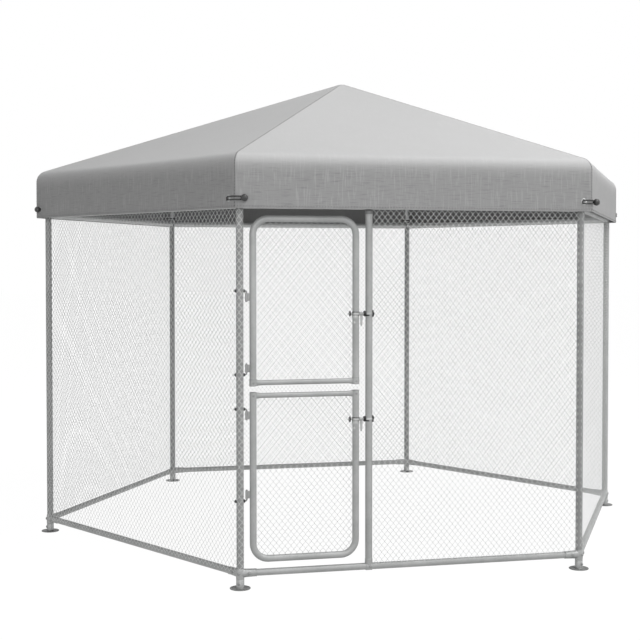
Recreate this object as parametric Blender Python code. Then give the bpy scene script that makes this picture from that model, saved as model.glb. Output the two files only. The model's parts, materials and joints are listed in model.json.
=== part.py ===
"""A walk-in dog kennel with six equal sides.

Round galvanised tubes make the frame: a post with a foot at each corner, a rail between the posts
at the bottom and at the top, and a rafter from each post up to a hub in the middle. Diamond wire
netting is fastened to the outside of the frame, and a pointed fabric cover with a straight skirt
lies on the rafters. One side holds a door in two leaves, one above the other.

The origin is on the floor in the middle. +Z is up and the side with the door faces -Y. The corners
are lettered a to f, anticlockwise seen from above: a and b are the ends of the side with the door.
"""

import math

import bmesh
import bpy
import numpy as np
from mathutils import Matrix, Vector

# Clearance between pieces that touch, and the number of flat sides that stand for a circle
GAP = 0.0003
TUBE_SIDES = 12
RAFTER_SIDES = 8
SMALL_SIDES = 8
NUT_SIDES = 6

# Edges sharper than this stay sharp in the shading, and net corners nearer than this become one
SHARP_ANGLE = math.radians(35)
MERGE_DISTANCE = GAP / 10
PIVOT_SIZE = 0.05

# Frame: post axes stand on a circle of this radius, so each of the six sides is as long
CORNERS = "abcdef"
FIRST_CORNER_ANGLE = math.radians(240)
CORNER_STEP = math.radians(60)
CORNER_RADIUS = 1.75
TUBE_WALL = 0.0015
POST_RADIUS = 0.0175
POST_TOP = 1.854
BOTTOM_RAIL_RADIUS = 0.0165
BOTTOM_RAIL_HEIGHT = 0.074
TOP_RAIL_RADIUS = 0.016

# Corner foot: a round plate, a short tube, a socket for the post and an arm for each bottom rail
PLATE_RADIUS = 0.050
PLATE_THICKNESS = 0.004
FOOT_TUBE_RADIUS = 0.020
FOOT_TUBE_TOP = 0.046
FITTING_WALL = 0.004
SOCKET_FLOOR = 0.002
ARM_LENGTH = 0.080
SOCKET_ROUNDING = 0.008
SOCKET_MOUTH_WALL = 0.002

# Door post, which stands on a tee round the bottom rail and carries a cap under the top rail
DOORWAY_WIDTH = 0.638
TEE_LENGTH = 0.036
TEE_PLUG_HEIGHT = 0.030
CAP_RADIUS = 0.019
CAP_HEIGHT = 0.025

# Door leaves: bent tubes, each closed by a crossbar, with a gap all round and one between them
LEAF_TUBE_RADIUS = 0.0165
LEAF_BEND = 0.075
BEND_STEPS = 3
LEAF_HINGE_GAP = 0.0295
LEAF_LATCH_GAP = 0.0325
LEAF_END_GAP = 0.031
SPLIT_HEIGHT = 0.9575
SPLIT_GAP = 0.029
CROSSBAR_RADIUS = 0.0125
CROSSBAR_END_HEIGHT = 0.032
CROSSBAR_END_DEPTH = 0.014
CROSSBAR_FLARE = 0.034
CROSSBAR_FROM_END = 0.0163
COLLAR_WALL = 0.0012
COLLAR_HEIGHT = 0.034

# Hinges: a barrel on the leaf turns on the upright end of a hooked bolt through the corner post
PIN_RADIUS = 0.004
BARREL_WALL = 0.0022
BARREL_LENGTH = 0.040
BARREL_PLATE = 0.004
BARREL_FROM_BOLT = 0.010
BOLT_BEND = 0.008
PIN_PAST_BARREL = 0.004
NUT_RADIUS = 0.0075
NUT_THICKNESS = 0.006
BOLT_TAIL = 0.006
UPPER_BARREL_FROM_TOP = 0.392
UPPER_BARREL_FROM_BOTTOM = 0.086
LOWER_BARREL_FROM_TOP = 0.1095
LOWER_BARREL_FROM_BOTTOM = 0.330

# Latches: a hanging handle whose open claw takes a bolt that sticks out of the door post
UPPER_LATCH_FROM_TOP = 0.4755
LOWER_LATCH_FROM_TOP = 0.143
STRAP_HEIGHT = 0.017
STRAP_THICKNESS = 0.002
STRAP_LEG = 0.008
LATCH_BOLT_TAIL = 0.0215
STOP_DISC_RADIUS = 0.0135
STOP_DISC_THICKNESS = 0.005
STOP_DISC_FROM_TUBE = 0.0105
CLAW_RADIUS = 0.009
CLAW_LENGTH = 0.015
CLAW_FROM_LEAF = 0.004
CLAW_WEB = 0.001
HANDLE_LENGTH = 0.061
HANDLE_THICKNESS = 0.004
STRIKE_DISC_RADIUS = 0.0135
STRIKE_DISC_THICKNESS = 0.010
WASHER_RADIUS = 0.017
WASHER_THICKNESS = 0.005
STRIKE_TAIL = 0.003

# Rafters and hub
RAFTER_RADIUS = 0.0115
RAFTER_WALL = 0.0012
RAFTER_PLUG = 0.040
RAFTER_FLANGE = 0.006
RAFTER_STRAIGHT = 0.0036
RAFTER_BEND_STEPS = 4
RAFTER_FROM_MIDDLE = 0.028
HUB_RADIUS = 0.055
HUB_DEPTH = 0.052

# Cover: heights are counted from the tops of the posts, and the corners stand out from the posts
COVER_OVERHANG = 0.068
SHOULDER_ABOVE_POSTS = 0.222
SKIRT_HEIGHT = 0.255
ROOF_RISE = 0.575
SHOULDER_BEND = 0.068
SHOULDER_STEPS = 3
COVER_TOP_FLAT = 0.0175
FABRIC = 0.0012
COVER_CLEARANCE = 0.0005

# Ball cords: a loop through two eyelets beside each corner seam, round the rafter, held by a ball
BALL_RADIUS = 0.0175
CORD_RADIUS = 0.003
CORD_SPACING = 0.016
CORD_SIDES = 4
CORD_ABOVE_POSTS = 0.015
EYELET_FROM_SEAM = 0.045
EYELET_WIDTH = 0.010
EYELET_HEIGHT = 0.026

# Netting: strips that cross in diamonds, ending in points along each edge
NET_STRIP = 0.006
NET_THICKNESS = 0.004
NET_ROWS = 4
NET_COLUMNS = 5
DOOR_SIDE_COLUMNS = 3
LEAF_NET_ROWS = 2
LEAF_NET_COLUMNS = 2
NET_ABOVE_RAIL = 0.002

# Sizes that follow from the ones above
TOP_RAIL_HEIGHT = POST_TOP - TOP_RAIL_RADIUS
SIDE_DISTANCE = CORNER_RADIUS * math.cos(CORNER_STEP / 2)
CORNER_A = Vector((-CORNER_RADIUS / 2, -SIDE_DISTANCE, 0))
DOOR_POST = CORNER_A + Vector((DOORWAY_WIDTH, 0, 0))
HINGE_FROM_POST = POST_RADIUS + LEAF_HINGE_GAP / 2
HINGE_AXIS = CORNER_A + Vector((HINGE_FROM_POST, 0, 0))
FITTING_RADIUS = BOTTOM_RAIL_RADIUS + FITTING_WALL
TURNING_BORE = (PIN_RADIUS + GAP) / math.cos(math.pi / SMALL_SIDES)
LEAF_LEFT = LEAF_HINGE_GAP / 2 + LEAF_TUBE_RADIUS
LEAF_RIGHT = DOORWAY_WIDTH - HINGE_FROM_POST - POST_RADIUS - LEAF_LATCH_GAP - LEAF_TUBE_RADIUS
UPPER_LEAF_TOP = TOP_RAIL_HEIGHT - TOP_RAIL_RADIUS - LEAF_END_GAP
UPPER_LEAF_BOTTOM = SPLIT_HEIGHT + SPLIT_GAP / 2
LOWER_LEAF_TOP = SPLIT_HEIGHT - SPLIT_GAP / 2
LOWER_LEAF_BOTTOM = BOTTOM_RAIL_HEIGHT + BOTTOM_RAIL_RADIUS + LEAF_END_GAP
UPPER_BARRELS = (
    (UPPER_LEAF_TOP - UPPER_BARREL_FROM_TOP, 1),
    (UPPER_LEAF_BOTTOM + UPPER_BARREL_FROM_BOTTOM, -1),
)
LOWER_BARRELS = (
    (LOWER_LEAF_TOP - LOWER_BARREL_FROM_TOP, 1),
    (LOWER_LEAF_BOTTOM + LOWER_BARREL_FROM_BOTTOM, -1),
)
UPPER_LATCH_HEIGHT = UPPER_LEAF_TOP - UPPER_LATCH_FROM_TOP
LOWER_LATCH_HEIGHT = LOWER_LEAF_TOP - LOWER_LATCH_FROM_TOP
CLAW_LEFT = LEAF_RIGHT + LEAF_TUBE_RADIUS + CLAW_FROM_LEAF
CLAW_MIDDLE = CLAW_LEFT + CLAW_LENGTH / 2
COVER_RADIUS = CORNER_RADIUS + COVER_OVERHANG
SHOULDER_HEIGHT = POST_TOP + SHOULDER_ABOVE_POSTS
APEX_HEIGHT = SHOULDER_HEIGHT + ROOF_RISE
RIDGE_SLOPE = ROOF_RISE / COVER_RADIUS
FACE_SLOPE = RIDGE_SLOPE / math.cos(CORNER_STEP / 2)

X_AXIS = Vector((1, 0, 0))
Y_AXIS = Vector((0, 1, 0))
Z_AXIS = Vector((0, 0, 1))


def clear_scene():
    for obj in list(bpy.data.objects):
        bpy.data.objects.remove(obj)


def make_material(name, colour, roughness, metallic):
    material = bpy.data.materials.new(name)
    material.use_nodes = True
    shader = material.node_tree.nodes["Principled BSDF"]
    shader.inputs["Base Color"].default_value = (*colour, 1)
    shader.inputs["Roughness"].default_value = roughness
    shader.inputs["Metallic"].default_value = metallic
    material.diffuse_color = (*colour, 1)
    return material


def unit_steps(path, closed):
    """The direction into and out of each point of a path, passing over points that coincide."""
    count = len(path)
    steps = [path[(i + 1) % count] - path[i] for i in range(count)]
    if not closed:
        steps = steps[:-1]
    units = [step / np.linalg.norm(step) if np.linalg.norm(step) > 1e-9 else None for step in steps]
    known = [i for i, unit in enumerate(units) if unit is not None]
    ways = []
    for i in range(count):
        before = [k for k in known if k < i]
        after = [k for k in known if k >= i]
        into = units[before[-1]] if before else units[known[-1] if closed else known[0]]
        out = units[after[0]] if after else units[known[0] if closed else known[-1]]
        ways.append((into, out))
    return ways


def rings_along(path, sections, normal, sides, closed=False):
    """Rings of points round a path in the plane with this normal, one ring for each point.

    A section is a radius, or a pair: half its size along the normal and half its size across.
    At a bend the second is widened by 1 / cos(half the turn), which keeps the bar's thickness.
    """
    path = [np.array(point, float) for point in path]
    normal = np.array(normal, float)
    if np.isscalar(sections):
        sections = [sections] * len(path)
    turn = 2 * np.pi * (np.arange(sides) + 0.5) / sides
    rings = []
    for point, section, (into, out) in zip(path, sections, unit_steps(path, closed)):
        along, across = (section, section) if np.isscalar(section) else section
        way = (into + out) / np.linalg.norm(into + out)
        sideways = np.cross(way, normal) / np.dot(way, out)
        round_points = along * np.outer(np.cos(turn), normal) + across * np.outer(np.sin(turn), sideways)
        rings.append(point + round_points)
    return rings


def skin(rings, closed=False):
    """A closed mesh through rings of points, capped at both ends unless the rings close on themselves."""
    mesh = bpy.data.meshes.new("skin")
    shell = bmesh.new()
    loops = [[shell.verts.new(point) for point in ring] for ring in rings]
    pairs = list(zip(loops, loops[1:]))
    if closed:
        pairs.append((loops[-1], loops[0]))
    for first, second in pairs:
        for i in range(len(first)):
            j = (i + 1) % len(first)
            shell.faces.new((first[i], first[j], second[j], second[i]))
    if not closed:
        shell.faces.new(loops[0])
        shell.faces.new(loops[-1])
    bmesh.ops.recalc_face_normals(shell, faces=shell.faces)
    shell.to_mesh(mesh)
    shell.free()
    return mesh


def bar(path, sections, normal=Y_AXIS, sides=TUBE_SIDES, closed=False):
    """A solid bar along a path."""
    return skin(rings_along(path, sections, normal, sides, closed), closed)


def tube(path, radius, wall, normal=Y_AXIS, sides=TUBE_SIDES):
    """A hollow tube along a path, open at both ends."""
    outer = rings_along(path, radius, normal, sides)
    inner = rings_along(path, radius - wall, normal, sides)
    return skin(outer + inner[::-1], closed=True)


def upright(bottom, top, radius, sides=TUBE_SIDES, at=(0, 0)):
    """A solid upright cylinder."""
    return bar([(*at, bottom), (*at, top)], radius, sides=sides)


def turned(profile, sides=TUBE_SIDES):
    """A solid turned about Z from (height, radius) points, listed from the bottom up."""
    return bar([(0, 0, height) for height, _ in profile], [radius for _, radius in profile], sides=sides)


def level(left, right, radius, height=0.0, sides=SMALL_SIDES):
    """A solid cylinder along X."""
    return bar([(left, 0, height), (right, 0, height)], radius, sides=sides)


def box(low, high):
    """A box between two corners."""
    mesh = bpy.data.meshes.new("box")
    shell = bmesh.new()
    size = Vector(high) - Vector(low)
    middle = (Vector(high) + Vector(low)) / 2
    bmesh.ops.create_cube(shell, size=1, matrix=Matrix.Translation(middle) @ Matrix.Diagonal((*size, 1)))
    shell.to_mesh(mesh)
    shell.free()
    return mesh


def arc(middle, radius, start, end, steps):
    """Points of an arc in the XZ plane, with angles counted from +X towards +Z."""
    angles = np.linspace(start, end, steps + 1)
    return [(middle[0] + radius * math.cos(a), 0, middle[1] + radius * math.sin(a)) for a in angles]


def moved(mesh, matrix):
    mesh.transform(matrix)
    return mesh


def combined(base, added=(), removed=()):
    """One mesh: the base with each added solid joined to it and each removed solid cut out of it."""
    holder = bpy.data.objects.new("holder", base)
    bpy.context.scene.collection.objects.link(holder)
    helpers = []
    for operation, meshes in (("UNION", added), ("DIFFERENCE", removed)):
        for mesh in meshes:
            helper = bpy.data.objects.new("helper", mesh)
            bpy.context.scene.collection.objects.link(helper)
            modifier = holder.modifiers.new("Boolean", "BOOLEAN")
            modifier.operation = operation
            modifier.object = helper
            helpers.append(helper)
    graph = bpy.context.evaluated_depsgraph_get()
    result = bpy.data.meshes.new_from_object(holder.evaluated_get(graph))
    for obj in [holder, *helpers]:
        mesh = obj.data
        bpy.data.objects.remove(obj)
        bpy.data.meshes.remove(mesh)
    return result


def add_object(name, mesh, material, matrix=None, parent=None, smooth=True):
    """Puts a mesh into the scene as one named object."""
    obj = bpy.data.objects.new(name, mesh)
    bpy.context.scene.collection.objects.link(obj)
    if smooth:
        mesh.shade_smooth()
        mesh.set_sharp_from_angle(angle=SHARP_ANGLE)
    if not mesh.materials:
        mesh.materials.append(material)
    if parent is not None:
        obj.parent = parent
    if matrix is not None:
        obj.matrix_basis = matrix
    return obj


def add_pivot(name, place, parent=None):
    """An empty on a joint's axis, which carries the pieces that move with it."""
    pivot = bpy.data.objects.new(name, None)
    pivot.empty_display_size = PIVOT_SIZE
    bpy.context.scene.collection.objects.link(pivot)
    pivot.parent = parent
    pivot.location = place
    return pivot


def corner_matrix(index):
    """Local +X points outwards from the middle at this corner, with the origin on the post's axis."""
    turn = Matrix.Rotation(FIRST_CORNER_ANGLE + index * CORNER_STEP, 4, "Z")
    return turn @ Matrix.Translation((CORNER_RADIUS, 0, 0))


def side_matrix(index):
    """Local +X runs from this corner to the next and -Y points outwards, with the origin mid-side."""
    turn = Matrix.Rotation(index * CORNER_STEP, 4, "Z")
    return turn @ Matrix.Translation((0, -SIDE_DISTANCE, 0))


def foot_mesh():
    """Plate, tube, socket and two arms, bored for the post and for the two bottom rails."""
    socket_radius = POST_RADIUS + GAP + FITTING_WALL
    socket_top = BOTTOM_RAIL_HEIGHT + FITTING_RADIUS + SOCKET_MOUTH_WALL
    body = turned([
        (0, PLATE_RADIUS),
        (PLATE_THICKNESS, PLATE_RADIUS),
        (PLATE_THICKNESS, FOOT_TUBE_RADIUS),
        (FOOT_TUBE_TOP, FOOT_TUBE_RADIUS),
        (FOOT_TUBE_TOP, socket_radius),
        (socket_top - SOCKET_ROUNDING, socket_radius),
        (socket_top, POST_RADIUS + GAP + SOCKET_MOUTH_WALL),
    ])
    arms = []
    bores = [upright(PLATE_THICKNESS + SOCKET_FLOOR, socket_top + FITTING_WALL, POST_RADIUS + GAP)]
    bore_start = POST_RADIUS + FITTING_WALL
    for turn in (2 * CORNER_STEP, -2 * CORNER_STEP):
        place = Matrix.Rotation(turn, 4, "Z")
        arm = level(0, ARM_LENGTH, FITTING_RADIUS, BOTTOM_RAIL_HEIGHT, TUBE_SIDES)
        bore_end = ARM_LENGTH + FITTING_WALL
        bore = level(bore_start, bore_end, BOTTOM_RAIL_RADIUS + GAP, BOTTOM_RAIL_HEIGHT, TUBE_SIDES)
        arms.append(moved(arm, place))
        bores.append(moved(bore, place))
    return combined(body, arms, bores)


def post_mesh():
    """A corner post from the floor of its socket up, with the origin at floor level."""
    bottom = PLATE_THICKNESS + SOCKET_FLOOR + GAP
    return tube([(0, 0, bottom), (0, 0, POST_TOP)], POST_RADIUS, TUBE_WALL)


def add_corners(materials):
    """Six feet, posts, rafters and ball cords, and the hinge bolts' holes in the post at corner a."""
    foot = foot_mesh()
    post = post_mesh()
    rafter = rafter_mesh()
    cord = ball_cord_mesh()
    for index, letter in enumerate(CORNERS):
        place = corner_matrix(index)
        add_object(f"foot_{letter}", foot, materials["fitting"], place)
        if letter != "a":
            add_object(f"post_{letter}", post, materials["tube"], place)
        add_object(f"rafter_{letter}", rafter, materials["tube"], place)
        add_object(f"ball_cord_{letter}", cord, materials["cord"], place)
    holes = [
        level(-2 * POST_RADIUS, 2 * POST_RADIUS, PIN_RADIUS + GAP, bolt_height(barrel))
        for barrel in (*UPPER_BARRELS, *LOWER_BARRELS)
    ]
    drilled = combined(post_mesh(), removed=holes)
    add_object("post_a", drilled, materials["tube"], Matrix.Translation(CORNER_A))


def rail_mesh(radius, length, ends):
    """A straight tube along X, centred on the origin, with each end shaped by what is cut away there."""
    rail = tube([(-length / 2, 0, 0), (length / 2, 0, 0)], radius, TUBE_WALL)
    return combined(rail, removed=ends) if ends else rail


def add_rails(materials):
    """A bottom rail between the feet and a top rail between the posts on each side."""
    bottom_length = CORNER_RADIUS - 2 * (POST_RADIUS + FITTING_WALL + GAP)
    bottom = rail_mesh(BOTTOM_RAIL_RADIUS, bottom_length, [])
    reach = 2 * TOP_RAIL_RADIUS
    notches = [
        upright(-reach, reach, POST_RADIUS + GAP, at=(end * CORNER_RADIUS / 2, 0))
        for end in (-1, 1)
    ]
    top_end = TOP_RAIL_RADIUS * math.tan(CORNER_STEP / 2) + GAP
    top = rail_mesh(TOP_RAIL_RADIUS, CORNER_RADIUS - 2 * top_end, notches)
    for index, letter in enumerate(CORNERS):
        name = letter + CORNERS[(index + 1) % len(CORNERS)]
        low = side_matrix(index) @ Matrix.Translation((0, 0, BOTTOM_RAIL_HEIGHT))
        high = side_matrix(index) @ Matrix.Translation((0, 0, TOP_RAIL_HEIGHT))
        add_object(f"bottom_rail_{name}", bottom, materials["tube"], low)
        add_object(f"top_rail_{name}", top, materials["tube"], high)


def add_door_post(materials):
    """The tee on the bottom rail, and the door post with its cap and the holes for the latch bolts."""
    tee_radius = BOTTOM_RAIL_RADIUS + GAP + FITTING_WALL
    tee_top = BOTTOM_RAIL_HEIGHT + tee_radius
    tee = combined(
        level(-TEE_LENGTH / 2, TEE_LENGTH / 2, tee_radius, BOTTOM_RAIL_HEIGHT, TUBE_SIDES),
        [upright(BOTTOM_RAIL_HEIGHT, tee_top + TEE_PLUG_HEIGHT, POST_RADIUS - TUBE_WALL - GAP)],
        [level(-TEE_LENGTH, TEE_LENGTH, BOTTOM_RAIL_RADIUS + GAP, BOTTOM_RAIL_HEIGHT, TUBE_SIDES)],
    )
    add_object("door_post_tee", tee, materials["fitting"], Matrix.Translation(DOOR_POST))
    cap_bottom = TOP_RAIL_HEIGHT - TOP_RAIL_RADIUS - CAP_HEIGHT
    post_top = cap_bottom + CAP_HEIGHT / 2
    post = tube([(0, 0, BOTTOM_RAIL_HEIGHT), (0, 0, post_top)], POST_RADIUS, TUBE_WALL)
    cuts = [
        level(-TEE_LENGTH, TEE_LENGTH, tee_radius + GAP, BOTTOM_RAIL_HEIGHT, TUBE_SIDES),
        level(-2 * CAP_RADIUS, 2 * CAP_RADIUS, TOP_RAIL_RADIUS + GAP, TOP_RAIL_HEIGHT, TUBE_SIDES),
    ]
    for height in (UPPER_LATCH_HEIGHT, LOWER_LATCH_HEIGHT):
        cuts.append(level(-2 * POST_RADIUS, 2 * POST_RADIUS, PIN_RADIUS + GAP, height))
    post = combined(post, [upright(cap_bottom, TOP_RAIL_HEIGHT, CAP_RADIUS)], cuts)
    add_object("door_post", post, materials["tube"], Matrix.Translation(DOOR_POST))


def bolt_height(barrel):
    """Height of the hooked bolt that goes into a barrel, above it where side is 1 and below where -1."""
    height, side = barrel
    return height + side * (BARREL_LENGTH / 2 + BARREL_FROM_BOLT)


def crossbar_mesh(height, inset):
    """The bar across a leaf's open end, flattened where it meets the tube, smaller all over by inset."""
    stations = (LEAF_LEFT, LEAF_LEFT + CROSSBAR_FLARE, LEAF_RIGHT - CROSSBAR_FLARE, LEAF_RIGHT)
    flat = (CROSSBAR_END_DEPTH / 2 - inset, CROSSBAR_END_HEIGHT / 2 - inset)
    radius = CROSSBAR_RADIUS - inset
    return bar([(x, 0, height) for x in stations], [flat, radius, radius, flat])


def leaf_mesh(ends, bend_at_top, barrels, latch_height):
    """A leaf's frame: a bent tube, a crossbar across its open end, and a barrel for each hinge.

    X is counted from the hinge axis. Everything solid is joined first and the bores are cut last.
    """
    open_end, bend_end = ends if bend_at_top else ends[::-1]
    way = 1 if bend_at_top else -1
    bend_height = bend_end - way * (LEAF_TUBE_RADIUS + LEAF_BEND)
    quarter = way * math.pi / 2
    reach = 2 * LEAF_TUBE_RADIUS
    left = arc((LEAF_LEFT + LEAF_BEND, bend_height), LEAF_BEND, math.pi, math.pi - quarter, BEND_STEPS)
    right = arc((LEAF_RIGHT - LEAF_BEND, bend_height), LEAF_BEND, quarter, 0, BEND_STEPS)
    path = [(LEAF_LEFT, 0, open_end), *left, *right, (LEAF_RIGHT, 0, open_end)]
    past_end = open_end - way * TUBE_WALL
    bore_path = [(LEAF_LEFT, 0, past_end), *left, *right, (LEAF_RIGHT, 0, past_end)]
    crossbar_height = open_end + way * CROSSBAR_FROM_END
    added = [crossbar_mesh(crossbar_height, 0)]
    bores = [
        bar(bore_path, LEAF_TUBE_RADIUS - TUBE_WALL),
        crossbar_mesh(crossbar_height, TUBE_WALL),
        level(LEAF_RIGHT - reach, LEAF_RIGHT + reach, PIN_RADIUS + GAP, latch_height),
    ]
    if bend_at_top:
        collar = LEAF_TUBE_RADIUS + COLLAR_WALL
        for x in (LEAF_LEFT, LEAF_RIGHT):
            added.append(upright(open_end, open_end + COLLAR_HEIGHT, collar, at=(x, 0)))
    for height, _ in barrels:
        low, high = height - BARREL_LENGTH / 2, height + BARREL_LENGTH / 2
        plate_low = (PIN_RADIUS, -BARREL_PLATE / 2, low + TUBE_WALL)
        plate_high = (LEAF_LEFT, BARREL_PLATE / 2, high - TUBE_WALL)
        added.append(upright(low, high, PIN_RADIUS + GAP + BARREL_WALL, SMALL_SIDES))
        added.append(box(plate_low, plate_high))
        bores.append(upright(low - TUBE_WALL, high + TUBE_WALL, TURNING_BORE, SMALL_SIDES))
    return combined(bar(path, LEAF_TUBE_RADIUS), added, bores)


def latch_bracket_mesh():
    """A strap round the front of the leaf's tube and the bolt through both, with its stop disc.

    The origin is on the bolt's axis, level with the middle of the tube.
    """
    angles = np.linspace(0, math.pi, 2 * BEND_STEPS + 1)
    reach = (LEAF_TUBE_RADIUS + GAP + STRAP_THICKNESS / 2) / math.cos(angles[1] / 2)
    path = [(reach, STRAP_LEG, 0)]
    path += [(reach * math.cos(a), -reach * math.sin(a), 0) for a in angles]
    path.append((-reach, STRAP_LEG, 0))
    to_corner = 1 / math.cos(math.pi / 4)
    section = (to_corner * STRAP_HEIGHT / 2, to_corner * STRAP_THICKNESS / 2)
    strap = bar(path, [section] * len(path), normal=Z_AXIS, sides=4)
    bolt_end = LEAF_TUBE_RADIUS + CLAW_FROM_LEAF + (CLAW_LENGTH - CLAW_WEB) / 2 - GAP
    bolt = level(-LEAF_TUBE_RADIUS - LATCH_BOLT_TAIL, bolt_end, PIN_RADIUS)
    disc_left = -LEAF_TUBE_RADIUS - STOP_DISC_FROM_TUBE - STOP_DISC_THICKNESS
    disc = level(disc_left, disc_left + STOP_DISC_THICKNESS, STOP_DISC_RADIUS, sides=TUBE_SIDES)
    return combined(strap, [bolt, disc])


def latch_handle_mesh():
    """A sleeve that turns on the leaf's bolt. Its other half is a claw, open at the top, and a flat
    handle hangs from it. The origin is in the middle of the sleeve, on the bolt's axis."""
    half = CLAW_LENGTH / 2
    sleeve = level(-half, half, CLAW_RADIUS, sides=TUBE_SIDES)
    handle = box(
        (-half, -HANDLE_THICKNESS / 2, -HANDLE_LENGTH),
        (half, HANDLE_THICKNESS / 2, -(TURNING_BORE + CLAW_RADIUS) / 2),
    )
    cuts = [
        level(-CLAW_LENGTH, -CLAW_WEB / 2, TURNING_BORE),
        level(CLAW_WEB / 2, CLAW_LENGTH, TURNING_BORE),
        box((CLAW_WEB / 2, -PIN_RADIUS - GAP, 0), (CLAW_LENGTH, PIN_RADIUS + GAP, 2 * CLAW_RADIUS)),
    ]
    return combined(sleeve, [handle], cuts)


def strike_mesh():
    """The bolt through the door post that the claw takes, with a disc and a washer against the post."""
    tip = HINGE_AXIS.x + CLAW_MIDDLE + CLAW_WEB / 2 + GAP - DOOR_POST.x
    side = POST_RADIUS + GAP
    return combined(
        level(tip, side + WASHER_THICKNESS + STRIKE_TAIL, PIN_RADIUS),
        [
            level(-side - STRIKE_DISC_THICKNESS, -side, STRIKE_DISC_RADIUS, sides=TUBE_SIDES),
            level(side, side + WASHER_THICKNESS, WASHER_RADIUS, sides=TUBE_SIDES),
        ],
    )


def hinge_bolt_mesh(barrel):
    """A hooked bolt through post a, with a nut on each side of the post. X is counted from the hinge
    axis and the origin is level with the straight part."""
    side = -barrel[1]
    near = -HINGE_FROM_POST + POST_RADIUS + GAP
    far = -HINGE_FROM_POST - POST_RADIUS - GAP
    pin_end = side * (BARREL_FROM_BOLT + BARREL_LENGTH + PIN_PAST_BARREL)
    tail = (far - NUT_THICKNESS - BOLT_TAIL, 0, 0)
    bend = arc((-BOLT_BEND, side * BOLT_BEND), BOLT_BEND, -side * math.pi / 2, 0, BEND_STEPS)
    rod = bar([tail, *bend, (0, 0, pin_end)], PIN_RADIUS, sides=SMALL_SIDES)
    nuts = [
        level(far - NUT_THICKNESS, far, NUT_RADIUS, sides=NUT_SIDES),
        level(near, near + NUT_THICKNESS, NUT_RADIUS, sides=NUT_SIDES),
    ]
    return combined(rod, nuts)


def add_leaf(name, materials, ends, bend_at_top, barrels, latch_height):
    """One leaf of the door with its netting and latch on pivots, and the bolts that carry and catch it."""
    pivot = add_pivot(f"{name}_leaf_hinge", HINGE_AXIS)
    frame = leaf_mesh(ends, bend_at_top, barrels, latch_height)
    add_object(f"{name}_leaf_frame", frame, materials["tube"], parent=pivot)
    low, high = ends[0] + LEAF_TUBE_RADIUS, ends[1] - LEAF_TUBE_RADIUS
    behind = LEAF_TUBE_RADIUS + GAP + NET_THICKNESS / 2
    net = net_mesh((LEAF_LEFT, LEAF_RIGHT), (low, high), LEAF_NET_COLUMNS, LEAF_NET_ROWS, behind)
    add_object(f"{name}_leaf_net", net, materials["wire"], parent=pivot, smooth=False)
    bracket_place = Matrix.Translation((LEAF_RIGHT, 0, latch_height))
    add_object(f"{name}_latch_bracket", latch_bracket_mesh(), materials["fitting"], bracket_place, pivot)
    latch = add_pivot(f"{name}_latch_pivot", (CLAW_MIDDLE, 0, latch_height), pivot)
    add_object(f"{name}_latch_handle", latch_handle_mesh(), materials["fitting"], parent=latch)
    strike_place = Matrix.Translation(DOOR_POST + latch_height * Z_AXIS)
    add_object(f"{name}_latch_strike", strike_mesh(), materials["bolt"], strike_place)
    for place, barrel in zip(("top", "bottom"), barrels):
        bolt_place = Matrix.Translation(HINGE_AXIS + bolt_height(barrel) * Z_AXIS)
        bolt = hinge_bolt_mesh(barrel)
        add_object(f"{name}_leaf_{place}_hinge_bolt", bolt, materials["bolt"], bolt_place)


def net_mesh(across, upward, columns, rows, plane):
    """Netting in the XZ plane: strips along both diagonals of a grid, crossing in diamonds.

    Grid points with an odd sum of indices are crossings. The half-size of a crossing follows from
    the strips' width: strip / (2 sin a) along X and strip / (2 cos a) along Z, for a slope angle a.
    """
    left, right = across
    low, high = upward
    step_x = (right - left) / (2 * columns)
    step_z = (high - low) / (2 * rows)
    slope = math.atan2(step_z, step_x)
    half_x = NET_STRIP / (2 * math.sin(slope))
    half_z = NET_STRIP / (2 * math.cos(slope))
    shell = bmesh.new()

    def corner(i, j, dx, dz):
        """A corner of the crossing at (i, j), kept inside the netting's edges."""
        x = min(max(left + i * step_x + dx, left), right)
        z = min(max(low + j * step_z + dz, low), high)
        return shell.verts.new((x, plane + NET_THICKNESS / 2, z))

    for i in range(2 * columns + 1):
        for j in range(2 * rows + 1):
            if (i + j) % 2 == 0:
                continue
            around = ((-half_x, 0), (0, -half_z), (half_x, 0), (0, half_z))
            shell.faces.new([corner(i, j, dx, dz) for dx, dz in around])
            for up in (1, -1):
                if i < 2 * columns and 0 <= j + up <= 2 * rows:
                    strip = [corner(i, j, half_x, 0), corner(i + 1, j + up, 0, -up * half_z)]
                    strip += [corner(i + 1, j + up, -half_x, 0), corner(i, j, 0, up * half_z)]
                    shell.faces.new(strip)
    bmesh.ops.remove_doubles(shell, verts=shell.verts, dist=MERGE_DISTANCE)
    front = bmesh.ops.extrude_face_region(shell, geom=shell.faces[:])
    front_points = [item for item in front["geom"] if isinstance(item, bmesh.types.BMVert)]
    bmesh.ops.translate(shell, verts=front_points, vec=-NET_THICKNESS * Y_AXIS)
    bmesh.ops.recalc_face_normals(shell, faces=shell.faces)
    mesh = bpy.data.meshes.new("net")
    shell.to_mesh(mesh)
    shell.free()
    return mesh


def add_nets(materials):
    """A length of netting on the outside of each side, but only beside the door on the first side."""
    plane = -POST_RADIUS - GAP - NET_THICKNESS / 2
    half = CORNER_RADIUS / 2
    upward = (BOTTOM_RAIL_HEIGHT + NET_ABOVE_RAIL, TOP_RAIL_HEIGHT)
    door_side = net_mesh((DOOR_POST.x, half), upward, DOOR_SIDE_COLUMNS, NET_ROWS, plane)
    full_side = net_mesh((-half, half), upward, NET_COLUMNS, NET_ROWS, plane)
    for index, letter in enumerate(CORNERS):
        name = letter + CORNERS[(index + 1) % len(CORNERS)]
        mesh = full_side if index else door_side
        add_object(f"net_{name}", mesh, materials["wire"], side_matrix(index), smooth=False)


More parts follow.
